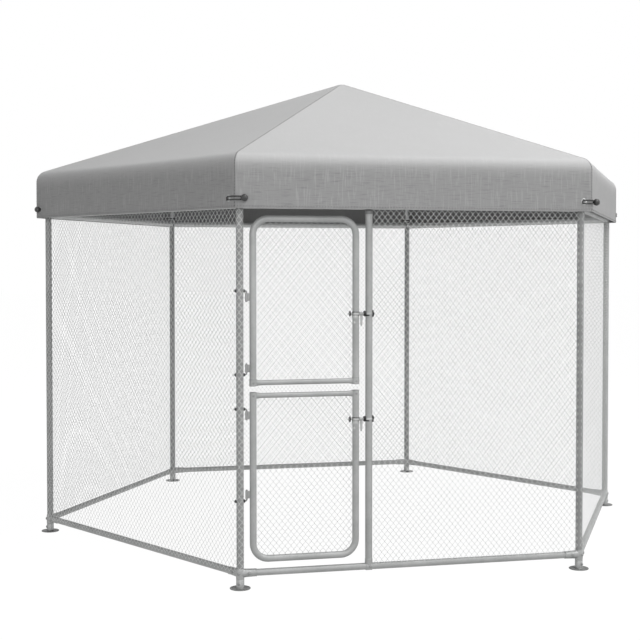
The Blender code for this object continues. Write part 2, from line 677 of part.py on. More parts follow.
def rafter_axis_height(distance):
    """Height of a rafter's straight stretch at a distance from the middle.

    It lies below the cover's ridge by the fabric, a clearance and its own radius, all measured
    square to the two faces that meet at the ridge, whose normals differ by the angle between.
    """
    face_tilt = math.atan(FACE_SLOPE)
    between = math.acos(math.sin(face_tilt) ** 2 * math.cos(CORNER_STEP) + math.cos(face_tilt) ** 2)
    square_to_faces = (FABRIC + COVER_CLEARANCE + RAFTER_RADIUS) / math.cos(between / 2)
    return APEX_HEIGHT - square_to_faces / math.cos(math.atan(RIDGE_SLOPE)) - RIDGE_SLOPE * distance


def rafter_mesh():
    """A bent tube with a plug that goes into the post and a flange that rests on it.

    It rises from the post, bends inwards and then runs close under the cover's ridge to the hub.
    """
    turn = math.pi / 2 - math.atan(RIDGE_SLOPE)
    meeting = rafter_axis_height(CORNER_RADIUS)
    bend_start = POST_TOP + GAP + RAFTER_FLANGE + RAFTER_STRAIGHT
    bend = (meeting - bend_start) / math.tan(turn / 2)
    curve = arc((-bend, bend_start), bend, 0, turn, RAFTER_BEND_STEPS)
    run_end = (RAFTER_FROM_MIDDLE - CORNER_RADIUS, 0, rafter_axis_height(RAFTER_FROM_MIDDLE))
    plug_bottom = POST_TOP - RAFTER_PLUG
    flange = (POST_TOP + GAP, POST_TOP + GAP + RAFTER_FLANGE)
    plug_radius = (POST_RADIUS - TUBE_WALL) * math.cos(math.pi / TUBE_SIDES) - GAP
    heights = (plug_bottom, flange[0], flange[0], flange[1], flange[1])
    radii = [plug_radius, plug_radius, POST_RADIUS, POST_RADIUS, RAFTER_RADIUS]
    path = [(0, 0, height) for height in heights] + curve + [run_end]
    outer = rings_along(path, radii + [RAFTER_RADIUS] * (len(curve) + 1), Y_AXIS, RAFTER_SIDES)
    bore = [(0, 0, plug_bottom), *curve, run_end]
    inner = rings_along(bore, RAFTER_RADIUS - RAFTER_WALL, Y_AXIS, RAFTER_SIDES)
    return skin(outer + inner[::-1], closed=True)


def hub_mesh():
    """A flat cone under the cover's point, bored for the six rafters."""
    face_tilt = math.atan(FACE_SLOPE)
    top = APEX_HEIGHT - RIDGE_SLOPE * COVER_TOP_FLAT - FABRIC / math.cos(face_tilt) - COVER_CLEARANCE
    top_radius = COVER_TOP_FLAT * math.cos(CORNER_STEP / 2)
    rim = top - FACE_SLOPE * (HUB_RADIUS - top_radius)
    hub = turned([(top - HUB_DEPTH, HUB_RADIUS), (rim, HUB_RADIUS), (top, top_radius)])
    ends = [(x, 0, rafter_axis_height(x)) for x in (RAFTER_FROM_MIDDLE - GAP, 2 * HUB_RADIUS)]
    bores = []
    for index in range(len(CORNERS)):
        bore = bar(ends, RAFTER_RADIUS + GAP, sides=RAFTER_SIDES)
        bores.append(moved(bore, Matrix.Rotation(index * CORNER_STEP, 4, "Z")))
    return combined(hub, removed=bores)


def cover_profile(radius, apex, bend, bottom):
    """(corner radius, height) points from the skirt's edge over the shoulder to the flat at the top."""
    slope = math.atan(RIDGE_SLOPE)
    turn = math.pi / 2 - slope
    shoulder = apex - RIDGE_SLOPE * radius
    bend_start = shoulder - bend * math.tan(turn / 2)
    curve = arc((radius - bend, bend_start), bend, 0, turn, SHOULDER_STEPS)
    profile = [(radius, bottom)] + [(x, z) for x, _, z in curve]
    return profile + [(COVER_TOP_FLAT, apex - RIDGE_SLOPE * COVER_TOP_FLAT)]


def cover_mesh():
    """A six-sided fabric shell, open below, with an eyelet slot on each side of every corner seam."""
    bottom = SHOULDER_HEIGHT - SKIRT_HEIGHT
    face_tilt = math.atan(FACE_SLOPE)
    outer = cover_profile(COVER_RADIUS, APEX_HEIGHT, SHOULDER_BEND, bottom)
    inner = cover_profile(
        COVER_RADIUS - FABRIC / math.cos(CORNER_STEP / 2),
        APEX_HEIGHT - FABRIC / math.cos(face_tilt),
        SHOULDER_BEND - FABRIC,
        bottom,
    )
    turns = np.arange(len(CORNERS)) * CORNER_STEP
    rings = [
        np.column_stack((radius * np.cos(turns), radius * np.sin(turns), np.full(len(turns), height)))
        for radius, height in inner[::-1] + outer
    ]
    middle = POST_TOP + CORD_ABOVE_POSTS
    slots = []
    for index in range(len(CORNERS)):
        seam = Matrix.Rotation(index * CORNER_STEP, 4, "Z") @ Matrix.Translation((COVER_RADIUS, 0, 0))
        for side in (-1, 1):
            slot = box(
                (-EYELET_WIDTH / 2, -EYELET_WIDTH, middle - EYELET_HEIGHT / 2),
                (EYELET_WIDTH / 2, EYELET_WIDTH, middle + EYELET_HEIGHT / 2),
            )
            along_face = Matrix.Rotation(side * (math.pi / 2 + CORNER_STEP / 2), 4, "Z")
            slots.append(moved(slot, seam @ along_face @ Matrix.Translation((EYELET_FROM_SEAM, 0, 0))))
    return combined(skin(rings), removed=slots)


def ball_mesh(radius, middle):
    mesh = bpy.data.meshes.new("ball")
    shell = bmesh.new()
    bmesh.ops.create_icosphere(shell, subdivisions=1, radius=radius, matrix=Matrix.Translation(middle))
    shell.to_mesh(mesh)
    shell.free()
    return mesh


def ball_cord_mesh():
    """Two strands of cord, one above the other, round a corner of the cover and behind the rafter.

    Local +X points outwards. The strands go in and out through the eyelets, and a ball holds them on
    the outside of the eyelet that is on the right, seen from outside.
    """
    half_turn = CORNER_STEP / 2
    seam = Vector((COVER_OVERHANG, 0, 0))
    off = CORD_RADIUS + GAP
    inside = FABRIC + off
    left_out = Vector((math.cos(half_turn), -math.sin(half_turn), 0))
    left = seam + EYELET_FROM_SEAM * Vector((-math.sin(half_turn), -math.cos(half_turn), 0))
    mirror = Matrix.Diagonal((1, -1, 1))
    right, right_out = mirror @ left, mirror @ left_out
    behind = POST_RADIUS + off
    path = [
        left + off * left_out,
        seam + off / math.cos(half_turn) * X_AXIS,
        right + off * right_out,
        right - inside * right_out,
        Vector((-behind, behind, 0)),
        Vector((-behind, -behind, 0)),
        left - inside * left_out,
    ]
    middle = POST_TOP + CORD_ABOVE_POSTS
    ball = ball_mesh(BALL_RADIUS, right + (BALL_RADIUS + GAP) * right_out + middle * Z_AXIS)
    flat_at_radius = CORD_RADIUS / math.cos(math.pi / CORD_SIDES)
    strands = []
    for side in (-1, 1):
        height = (middle + side * CORD_SPACING / 2) * Z_AXIS
        points = [point + height for point in path]
        strands.append(bar(points, flat_at_radius, Z_AXIS, CORD_SIDES, closed=True))
    return combined(ball, strands)


def build():
    clear_scene()
    materials = {
        "tube": make_material("galvanised_tube", (0.42, 0.44, 0.43), 0.42, 0.9),
        "fitting": make_material("zinc_fitting", (0.36, 0.37, 0.36), 0.5, 0.9),
        "bolt": make_material("dark_bolt", (0.12, 0.12, 0.12), 0.5, 0.8),
        "wire": make_material("galvanised_wire", (0.55, 0.57, 0.56), 0.4, 0.9),
        "cover": make_material("grey_fabric", (0.30, 0.30, 0.31), 0.9, 0.0),
        "cord": make_material("black_cord", (0.01, 0.01, 0.01), 0.6, 0.0),
    }
    add_corners(materials)
    add_rails(materials)
    add_door_post(materials)
    add_nets(materials)
    upper_ends = (UPPER_LEAF_BOTTOM, UPPER_LEAF_TOP)
    lower_ends = (LOWER_LEAF_BOTTOM, LOWER_LEAF_TOP)
    add_leaf("upper", materials, upper_ends, True, UPPER_BARRELS, UPPER_LATCH_HEIGHT)
    add_leaf("lower", materials, lower_ends, False, LOWER_BARRELS, LOWER_LATCH_HEIGHT)
    add_object("hub", hub_mesh(), materials["fitting"])
    add_object("cover", cover_mesh(), materials["cover"], smooth=False)


build()
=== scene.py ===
# %% [markdown]
# A walk-in dog kennel with six equal sides: galvanised tubes, diamond wire netting and a pointed
# cloth cover on rafters. The frame loaded here holds a plain solid for every piece, at its true
# size and place. Pieces could be drawn by eye, but then nothing would be sure to fit, so every
# place is read from the frame. This script adds what plain solids lack: woven wire, stitched cloth,
# soft edges, bolts and finishes.

# %% Load the frame
import json
import math

import bpy
import numpy as np
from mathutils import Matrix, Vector


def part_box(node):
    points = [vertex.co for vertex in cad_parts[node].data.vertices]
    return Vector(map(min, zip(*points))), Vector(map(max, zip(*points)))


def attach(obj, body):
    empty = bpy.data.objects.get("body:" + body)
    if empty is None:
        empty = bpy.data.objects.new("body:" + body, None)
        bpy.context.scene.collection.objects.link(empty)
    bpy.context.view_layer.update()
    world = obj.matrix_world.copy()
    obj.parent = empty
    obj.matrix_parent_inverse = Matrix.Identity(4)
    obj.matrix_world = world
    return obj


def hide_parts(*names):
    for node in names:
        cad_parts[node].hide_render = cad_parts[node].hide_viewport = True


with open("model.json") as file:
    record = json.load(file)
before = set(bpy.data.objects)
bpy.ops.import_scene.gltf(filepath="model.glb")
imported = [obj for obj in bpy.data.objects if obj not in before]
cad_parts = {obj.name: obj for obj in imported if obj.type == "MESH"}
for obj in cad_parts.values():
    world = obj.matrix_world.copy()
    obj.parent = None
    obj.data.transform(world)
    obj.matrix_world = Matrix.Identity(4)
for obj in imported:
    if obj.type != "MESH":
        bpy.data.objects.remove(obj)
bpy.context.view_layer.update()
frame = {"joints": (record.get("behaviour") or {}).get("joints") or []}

# %% [markdown]
# The kennel is a regular hexagon, so a few lengths give every place on it. They could be typed in
# again, but a copy goes wrong once the frame changes. So they come from the solids' boxes and the
# joints.

# %% Places read from the frame


def middle(node):
    low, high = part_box(node)
    return np.array((low + high) / 2)


def bottom(node):
    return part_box(node)[0].z


def top(node):
    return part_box(node)[1].z


def joint_place(name):
    return np.array(next(joint["pos_m"] for joint in frame["joints"] if joint["name"] == name))


CORNERS = "abcdef"
SIDES = [letter + CORNERS[(i + 1) % 6] for i, letter in enumerate(CORNERS)]
SIXTH = math.radians(60)
FIRST_CORNER = math.radians(240)
FRAME_BODY = "kennel_frame"
CORNER_RADIUS = middle("post_c")[0]
SIDE_DISTANCE = CORNER_RADIUS * math.cos(SIXTH / 2)
HALF_SIDE = CORNER_RADIUS / 2
POST_TOP = top("post_b")
POST_FOOT = bottom("post_b")
FLOOR_RAIL_HEIGHT = middle("bottom_rail_cd")[2]
TOP_RAIL_HEIGHT = middle("top_rail_cd")[2]
LATCH_POST_X = middle("door_post")[0]
HINGE_X, HINGE_Y, _ = joint_place("upper_leaf_swing")
LATCH_HEIGHTS = {name: joint_place(f"{name}_latch_lift")[2] for name in ("upper", "lower")}
print(f"corners {CORNER_RADIUS:.3f} m from the middle, posts {POST_TOP:.3f} m high")

# %% [markdown]
# Tubes are named by their radius and cloth by its thickness. The numbers could stand where they are
# used, but one name for each keeps pieces that touch in step. SEAT is the small gap between two
# such pieces, so that their surfaces never share one place.

# %% Sizes of tube and cloth
POST_TUBE = 0.0175
FLOOR_RAIL_TUBE = 0.0165
TOP_RAIL_TUBE = 0.016
LEAF_TUBE = 0.0165
RAFTER_TUBE = 0.0115
TUBE_WALL = 0.0015
SEAT = 0.0003
CLOTH = 0.0012
ROUND = 32
SMALL_ROUND = 16
print(f"posts of {2000 * POST_TUBE:.0f} mm tube, leaves of {2000 * LEAF_TUBE:.0f} mm")

# %% [markdown]
# A mesh can grow point by point, but numpy fills Blender's flat arrays in one go, which is much
# faster for the netting's many faces. A Shape gathers grids of points whose rows are rings along a
# tube or steps up a cloth. Neighbours are joined by four-sided faces, and the ends are closed. If
# rings run round the direction of the rows by the right-hand rule, faces point outwards.

# %% Surfaces from grids of points


def grid_corners(rows, columns, wrap):
    """Row and column of the four corners of each face, as two arrays of (faces, 4).

    Face (r, c) has the corners (r, c), (r, c + 1), (r + 1, c + 1) and (r + 1, c). The last column
    meets the first, and so does the last row if rows wrap.
    """
    row, column = np.divmod(np.arange((rows if wrap else rows - 1) * columns), columns)
    return row[:, None] + (0, 0, 1, 1), column[:, None] + (0, 1, 1, 0)


class Shape:
    """Surfaces that become one mesh."""

    def __init__(self):
        self.points = []
        self.faces = []
        self.finishes = []
        self.spots = []

    def add(self, rings, wrap=False, finish=0, spots=None, panels=1):
        """Adds a grid of closed rings, (rows, columns, 3), or a stack of such grids.

        The two end rings are closed too, unless the rows wrap. finish is one number or one for each
        face. spots are the places on the cloth. They start afresh at each panel, so each panel has
        one column of them more than of points.
        """
        rings = np.asarray(rings, float)
        rows, columns = rings.shape[-3:-1]
        row, column = grid_corners(rows, columns, wrap)
        faces = (row % rows) * columns + column % columns
        finish = np.broadcast_to(finish, len(faces))
        if spots is None:
            spots = np.zeros((*faces.shape, 2))
        else:
            spots = spots[row, column + column[:, :1] // (columns // panels)]
        groups = [(faces, finish, spots)]
        if not wrap:
            ring = np.arange(columns)
            ends = np.stack([ring[::-1], ring + (rows - 1) * columns])
            groups.append((ends, finish[[0, 0]], np.zeros((2, columns, 2))))
        starts = np.arange(0, rings.size // 3, rows * columns) + sum(map(len, self.points))
        for corners, finishes, marks in groups:
            self.faces.append((starts[:, None, None] + corners).reshape(-1, corners.shape[1]))
            self.finishes.append(np.tile(finishes, len(starts)))
            self.spots.append(np.tile(marks, (len(starts), 1, 1)))
        self.points.append(rings.reshape(-1, 3))
        return self

    def trim(self, inside):
        """Leaves out faces with a corner outside, and then the points that no face uses."""
        points = np.concatenate(self.points)
        kept = inside(points)
        whole = [kept[faces].all(1) for faces in self.faces]
        self.faces, self.finishes, self.spots = (
            [values[chosen] for values, chosen in zip(groups, whole)]
            for groups in (self.faces, self.finishes, self.spots)
        )
        used = np.unique(np.concatenate([faces.ravel() for faces in self.faces]))
        self.faces = [np.searchsorted(used, faces) for faces in self.faces]
        self.points = [points[used]]
        return self

    def make(self, name, finishes, nodes=(), slot=None, place=None, body=FRAME_BODY, sharp=40):
        """Makes the piece, puts it on a body and hides the solids it stands for.

        place is a 4 x 4 matrix. It moves the points, so the object itself stays at the origin.
        """
        points = np.concatenate(self.points)
        if place is not None:
            points = points @ place[:3, :3].T + place[:3, 3]
        sizes = np.concatenate([np.full(len(group), group.shape[1]) for group in self.faces])
        corners = np.concatenate([group.ravel() for group in self.faces])
        starts = np.concatenate([[0], np.cumsum(sizes)[:-1]])
        mesh = bpy.data.meshes.new(name)
        mesh.vertices.add(len(points))
        mesh.vertices.foreach_set("co", points.astype(np.float32).ravel())
        mesh.loops.add(len(corners))
        mesh.loops.foreach_set("vertex_index", corners.astype(np.int32))
        mesh.polygons.add(len(sizes))
        mesh.polygons.foreach_set("loop_start", starts.astype(np.int32))
        chosen = np.concatenate(self.finishes)
        mesh.polygons.foreach_set("material_index", chosen.astype(np.int32))
        mesh.update(calc_edges=True)
        spots = np.concatenate([group.reshape(-1, 2) for group in self.spots])
        if spots.any():
            layer = mesh.uv_layers.new(name="cloth")
            layer.data.foreach_set("uv", spots.astype(np.float32).ravel())
        mesh.shade_smooth()
        mesh.set_sharp_from_angle(angle=math.radians(sharp))
        for finish in finishes:
            mesh.materials.append(finish)
        piece = bpy.data.objects.new(name, mesh)
        bpy.context.scene.collection.objects.link(piece)
        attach(piece, body)
        if nodes:
            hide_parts(*nodes)
        print(f"{name}: {len(sizes)} faces")
        return piece


print("a tube of 3 rings with 4 corners has", len(grid_corners(3, 4, False)[0]), "side faces")

# %% [markdown]
# Most metal pieces are a section carried along a line. Blender can bevel a curve for this, but its
# section narrows in sharp bends. Here the section is cut at half the angle of a bend and widened,
# as a joiner mitres a frame, so a tube or a strap keeps its thickness.

# %% Sections carried along a line
X = np.array((1.0, 0, 0))
Y = np.array((0, 1.0, 0))
Z = np.array((0, 0, 1.0))


def unit(vector):
    vector = np.asarray(vector, float)
    return vector / np.linalg.norm(vector, axis=-1, keepdims=True)


def distance_along(line):
    """The distance from a line's first point to each of its points."""
    return np.concatenate([[0], np.cumsum(np.linalg.norm(np.diff(line, axis=0), axis=1))])


def sweep(path, radius, normal, sides=ROUND, closed=False):
    """Rings along a path that lies in the plane with this normal, as (points, sides, 3).

    point = path + cos a * r1 * normal + sin a * r2 * sideways, where sideways is square to the path
    and is widened at a bend by 1 / cos(half the turn). radius is one number, a pair (r1, r2), or
    one pair for each point of the path.
    """
    path = np.asarray(path, float)
    step = np.roll(path, -1, 0) - path
    if not closed:
        step[-1] = step[-2]
    leaving = unit(step)
    coming = np.roll(leaving, 1, 0)
    if not closed:
        coming[0] = leaving[0]
    way = unit(coming + leaving)
    widening = 1 / (way * leaving).sum(1, keepdims=True)
    first = unit(normal)
    second = np.cross(way, first) * widening
    size = np.broadcast_to(radius, (len(path), 2))
    angle = np.arange(sides) * 2 * np.pi / sides
    across = np.cos(angle)[None, :, None] * size[:, None, :1] * first
    sideways = np.sin(angle)[None, :, None] * size[:, None, 1:] * second[:, None]
    return path[:, None] + across + sideways


def hollow(path, radius, normal, wall=TUBE_WALL, sides=ROUND):
    """Rings of a tube: along its outside and back along its bore."""
    bore = sweep(path, radius - wall, normal, sides)
    return np.concatenate([sweep(path, radius, normal, sides), bore[::-1]])


def rounded(corners, radius, steps=8, closed=False):
    """A line through these corners, each replaced by an arc of this radius.

    With p the direction into a corner, n square to it towards the direction out, and w the turn,
    an arc's points are corner - p * radius * tan(w / 2) + radius * (sin a * p + (1 - cos a) * n).
    """
    corners = np.asarray(corners, float)
    count = len(corners)
    line = []
    for i, corner in enumerate(corners):
        if not closed and i in (0, count - 1):
            line.append(corner[None])
            continue
        into = unit(corner - corners[i - 1])
        out = unit(corners[(i + 1) % count] - corner)
        turn = math.acos(np.clip(into @ out, -1, 1))
        square = unit(out - (into @ out) * into)
        angle = np.linspace(0, turn, steps + 1)[:, None]
        arc = radius * (np.sin(angle) * into + (1 - np.cos(angle)) * square)
        line.append(corner - into * radius * math.tan(turn / 2) + arc)
    return np.concatenate(line)


print("a straight tube is", hollow([0 * Z, Z], POST_TUBE, Y).shape[:2], "rings and sides")

# %% [markdown]
# Discs, caps, nuts and bolt heads are turned: a profile goes round an axis, as on a lathe.
# Cylinders with a bevel would give the discs, but turning also gives domes and swellings.

# %% Turned pieces


def turned(profile, at=(0, 0, 0), axis=Z, sides=ROUND):
    """Rings of a profile of (height, radius) turned about an axis through a point.

    point = at + height * axis + radius * (cos a * p + sin a * q), with p and q square to the axis.
    """
    axis = unit(axis)
    p = unit(np.cross(Z if abs(axis[2]) < 0.9 else X, axis))
    q = np.cross(axis, p)
    height, radius = np.asarray(profile, float).T[:, :, None, None]
    angle = (np.arange(sides) * 2 * np.pi / sides)[None, :, None]
    return at + height * axis + radius * (np.cos(angle) * p + np.sin(angle) * q)


def disc(length, radius, bevel, at, axis=Z, sides=ROUND):
    """Rings of a disc, a drum or a nut with slanted edges."""
    inner = radius - bevel
    profile = [(0, inner), (bevel, radius), (length - bevel, radius), (length, inner)]
    return turned(profile, at, axis, sides)


def round_head(radius, rise, at, axis):
    """Rings of a bolt or rivet head: a dome on a short rim, height = rim + (rise - rim) * sin a."""
    angle = np.linspace(0, math.pi / 2, 7)[:-1]
    rim = rise / 4
    curve = np.column_stack([rim + (rise - rim) * np.sin(angle), radius * np.cos(angle)])
    profile = np.concatenate([[(0, radius)], curve, [(rise, radius / 20)]])
    return turned(profile, at, axis, SMALL_ROUND)


print("a bolt head is", round_head(0.007, 0.005, 0 * Z, Z).shape[:2], "rings and sides")

# %% [markdown]
# Six corners and six sides are alike. A piece's object could be turned five times, but a finished
# object stays at the origin, so each copy's points are moved by a matrix.

# %% Places round the hexagon


def heading(angle):
    """The level direction at this angle from +X."""
    return np.array((math.cos(angle), math.sin(angle), 0))


def turn_about_z(angle, offset=(0, 0, 0)):
    """A place turned about the kennel's upright axis: offset is moved first and then turned."""
    c, s = math.cos(angle), math.sin(angle)
    turn = np.eye(4)
    turn[:2, :2] = ((c, -s), (s, c))
    shift = np.eye(4)
    shift[:3, 3] = offset
    return turn @ shift


def corner_place(index):
    """Local +X points outwards from the kennel, with the origin under the corner post."""
    return turn_about_z(FIRST_CORNER + index * SIXTH, (CORNER_RADIUS, 0, 0))


def side_place(index):
    """Local +X runs along the side to the next corner, and -Y points outwards."""
    return turn_about_z(index * SIXTH, (0, -SIDE_DISTANCE, 0))


# At a corner: the ways along its two walls, and the ways out of them.
WALL_WAYS = {side: heading(side * 2 * SIXTH) for side in (-1, 1)}
WALL_OUTS = {side: heading(side * SIXTH / 2) for side in (-1, 1)}
print("corner a stands at", corner_place(0)[:2, 3].round(3))

# %% [markdown]
# The camera stands where the photograph was taken, left of the door at eye height. Placed by eye it
# would never quite fit, so its lens and place were fitted to the feet, the cover's corners and its
# point. The picture is square, and a small shift sets the horizon.

# %% Camera
PICTURE = 640
SENSOR = 36.0
FOCAL_PIXELS = 1239.14
HORIZON_ABOVE_MIDDLE = 21.14

eye = bpy.data.cameras.new("camera")
eye.sensor_width = SENSOR
eye.lens = FOCAL_PIXELS * SENSOR / PICTURE
eye.shift_y = -HORIZON_ABOVE_MIDDLE / PICTURE
eye.clip_end = 200
camera = bpy.data.objects.new("camera", eye)
camera.location = (-1.8162, -7.3586, 1.5617)
camera.rotation_euler = (math.radians(90 - 1.655), 0, math.radians(-12.86))
bpy.context.scene.collection.objects.link(camera)
bpy.context.scene.camera = camera
print(f"a lens of {eye.lens:.1f} mm")

# %% [markdown]
# A finish is a material made of nodes. Nodes could be wired one by one, but long lists of links are
# hard to read. A Field wraps one socket and turns Python's operators into Math nodes, so 1 - mask
# or 0.3 + 0.2 * noise is written as it stands. Any other node comes from one method, which sets its
# settings before its sockets.

# %% Shader expressions


class Field:
    """A value that changes over a surface, held by one socket of a node tree."""

    def __init__(self, nodes, socket):
        self.nodes = nodes
        self.socket = socket

    def maths(self, operation, first, second=0.0):
        return self.nodes.node("ShaderNodeMath", {"operation": operation}, {0: first, 1: second})

    def __add__(self, other):
        return self.maths("ADD", self, other)

    def __sub__(self, other):
        return self.maths("SUBTRACT", self, other)

    def __rsub__(self, other):
        return self.maths("SUBTRACT", other, self)

    def __mul__(self, other):
        return self.maths("MULTIPLY", self, other)

    __radd__ = __add__
    __rmul__ = __mul__

    def sine(self):
        return self.maths("SINE", self)

    def between(self, low, high):
        """0 below low, 1 above high and a smooth rise in between."""
        settings = {"interpolation_type": "SMOOTHSTEP"}
        return self.nodes.node("ShaderNodeMapRange", settings, {"Value": self, 1: low, 2: high})


class Nodes:
    """The node tree of a material or of the world, with its shader."""

    def __init__(self, owner, shader):
        owner.use_nodes = True
        self.tree = owner.node_tree
        self.shader = self.tree.nodes[shader]

    def node(self, kind, settings, sockets, output=0):
        """One node of any kind. Its output comes back as a Field."""
        node = self.tree.nodes.new(kind)
        for setting, value in settings.items():
            setattr(node, setting, value)
        for socket, value in sockets.items():
            self.feed(node.inputs[socket], value)
        return Field(self, node.outputs[output])

    def feed(self, socket, value):
        if isinstance(value, Field):
            self.tree.links.new(value.socket, socket)
        else:
            socket.default_value = value

    def set(self, name, value):
        self.feed(self.shader.inputs[name], value)
        return self

    def part_of(self, vector, axis):
        """One of the three numbers of a place or a direction."""
        return self.node("ShaderNodeSeparateXYZ", {}, {0: vector}, axis)


class Finish(Nodes):
    """A material and its Principled shader. fixed names the sockets that are the same all over."""

    def __init__(self, name, **fixed):
        self.material = bpy.data.materials.new(name)
        super().__init__(self.material, "Principled BSDF")
        for socket, value in fixed.items():
            self.set(socket.replace("_", " "), value)

    def place(self):
        """The point on the piece in metres."""
        return self.node("ShaderNodeTexCoord", {}, {}, "Object")

    def cloth_place(self, stretch=(1, 1, 1)):
        """The spot on the cloth in metres, across the panel and up it, stretched each way."""
        spot = self.node("ShaderNodeUVMap", {"uv_map": "cloth"}, {})
        return self.node("ShaderNodeMapping", {}, {"Vector": spot, "Scale": stretch})

    def noise(self, place, scale, detail=2.0, roughness=0.5):
        sockets = {"Vector": place, "Scale": scale, "Detail": detail, "Roughness": roughness}
        return self.node("ShaderNodeTexNoise", {}, sockets, "Fac")

    def blend(self, factor, first, second):
        """A mix of two colours. The sockets 6, 7 and the output 2 are the Mix node's colours."""
        settings = {"data_type": "RGBA"}
        return self.node("ShaderNodeMix", settings, {0: factor, 6: first, 7: second}, 2)

    def bump(self, height, distance, strength=1.0):
        sockets = {"Strength": strength, "Distance": distance, "Height": height}
        return self.set("Normal", self.node("ShaderNodeBump", {}, sockets, "Normal"))


def grey(value, tint=0.0):
    """A grey, a little green and blue where tint is above 0."""
    return (value, value * (1 + tint), value * (1 + tint / 2), 1)


print("a grey of a half:", grey(0.5))

# %% [markdown]
# Hot-dip galvanised steel is a dull grey with faint crystals, called spangle, and cloudy patches. A
# picture of zinc would repeat along a tube. Crystals are the cells of a Voronoi pattern and clouds
# are noise, both in metres, so they fit every piece. They shift the grey only a little, because the
# eye reads metal mostly from its gloss.

# %% Metal finishes


def zinc(name, dull, bright, spangle=90, metallic=0.35, roughness=0.5, grain=0.00015, gloss=0.5):
    """Galvanised or plated steel between two greys, with spangle crystals per metre.

    The tone is three quarters clouds and one quarter crystals.
    """
    finish = Finish(name, Metallic=metallic, Specular_IOR_Level=gloss)
    place = finish.place()
    clouds = finish.noise(place, 7.0, 4.0, 0.6)
    cells = finish.node("ShaderNodeTexVoronoi", {}, {"Vector": place, "Scale": spangle}, "Color")
    crystal = finish.node("ShaderNodeSeparateColor", {}, {0: cells})
    tone = 0.75 * clouds.between(0.3, 0.7) + 0.25 * crystal
    fine = finish.noise(place, 700.0, 3.0)
    finish.set("Base Color", finish.blend(tone, grey(dull, 0.02), grey(bright, 0.01)))
    finish.set("Roughness", roughness + 0.10 * (fine - 0.5) - 0.04 * (crystal - 0.5))
    finish.bump(0.7 * fine + 0.3 * clouds, grain)
    return finish.material


def blackened(name, low, high):
    """Dark plated steel, rubbed paler and smoother in patches."""
    finish = Finish(name, Metallic=0.5)
    rubbed = finish.noise(finish.place(), 60.0, 4.0, 0.65).between(0.45, 0.75)
    finish.set("Base Color", finish.blend(rubbed, grey(low), grey(high)))
    finish.set("Roughness", 0.45 - 0.12 * rubbed)
    return finish.bump(finish.noise(finish.place(), 900.0), 0.0001).material


TUBE_ZINC = zinc("tube_zinc", 0.38, 0.47, metallic=0.25, gloss=0.25)
# A darker copy of the tube zinc for the corner posts: painted shade.
SHADED_POST_ZINC = zinc("post_zinc", 0.28, 0.36, metallic=0.25, gloss=0.25)
# A paler copy of the tube zinc for the tubes under the cover: painted light in the cover's shade.
LIT_ROOF_ZINC = zinc("roof_zinc", 0.62, 0.74, metallic=0.2, roughness=0.45, gloss=0.4)
FITTING_ZINC = zinc("fitting_zinc", 0.33, 0.43, 160, metallic=0.5, grain=0.0003)
PLATE_ZINC = zinc("plate_zinc", 0.18, 0.25, 120)
SEAM_ZINC = zinc("seam_zinc", 0.27, 0.34, 200)
WIRE_ZINC = zinc("wire_zinc", 0.66, 0.76, 400, metallic=0.15, roughness=0.4)
LATCH_ZINC = zinc("latch_zinc", 0.44, 0.55, 200, metallic=0.5, roughness=0.4)
EYELET_ZINC = zinc("eyelet_zinc", 0.40, 0.50, 300, metallic=0.6, roughness=0.35)
DARK_STEEL = blackened("dark_steel", 0.015, 0.06)
print("nodes of the tube's zinc:", len(TUBE_ZINC.node_tree.nodes))

# %% [markdown]
# The cover is woven polyester. Yarns of uneven thickness show as short pale streaks up the skirt
# and fewer dark dashes across it. Noise in plain space would cut through the folds, so the pattern
# reads the map "cloth", in metres across each panel and up it, and is stretched one way for streaks
# and the other for dashes. The slopes get a paler grey, which is painted light from above. The
# weave is two sine waves that cross.

# %% Cloth
YARN_PITCH = 0.0016
# Where along the cloth the slopes' painted light fades in.
SHOULDER_ALONG = (0.16, 0.28)


def woven(name, shade, slope_painted_light_tone, streak):
    """Cloth between two greys: the skirt's, and the slopes' paler one, which is painted light."""
    finish = Finish(name, Sheen_Weight=0.15, Specular_IOR_Level=0.2, Roughness=0.9)
    spot = finish.cloth_place()
    across, up = finish.part_of(spot, "X"), finish.part_of(spot, "Y")
    pale_yarn = finish.noise(finish.cloth_place((150, 9, 1)), 1.0).between(0.52, 0.68)
    dark_dash = finish.noise(finish.cloth_place((13, 270, 1)), 1.0).between(0.54, 0.66)
    clouds = finish.noise(spot, 5.0, 3.0)
    slope = up.between(*SHOULDER_ALONG)
    contrast = 1.0 - 0.6 * slope
    tone = 0.5 + contrast * (streak * pale_yarn - streak * dark_dash) + 0.25 * (clouds - 0.5)
    skirt = finish.blend(tone, grey(shade * 0.8), grey(shade * 1.2))
    # Painted light: the slopes are paler because they face the light from above.
    painted_light_roof = finish.blend(tone, grey(slope_painted_light_tone * 0.93), grey(slope_painted_light_tone * 1.07))
    finish.set("Base Color", finish.blend(slope, skirt, painted_light_roof))
    turns = 2 * math.pi / YARN_PITCH
    weave = (across * turns).sine() * (up * turns).sine()
    finish.bump(0.4 * weave + 0.6 * pale_yarn + 0.6 * dark_dash, 0.00025, 0.6)
    return finish.material


# In each cloth the second grey is the slopes' painted light.
COVER_CLOTH = woven("cover_cloth", 0.36, 0.585, 0.44)
# The lining's darker grey is partly the cloth's inner side and partly painted shade under the
# cover.
LINING_CLOTH = woven("lining_cloth", 0.32, 0.32, 0.2)
SEAM_CLOTH = woven("seam_cloth", 0.30, 0.50, 0.3)
print(f"{1 / YARN_PITCH:.0f} yarns to a metre of cloth")

# %% [markdown]
# Thread, elastic cord and balls are near black. A flat black would look like a hole, so noise
# varies its grey and gloss, and a fine bump gives ribs, or the unevenness of moulded plastic.

# %% Thread, cord and ball


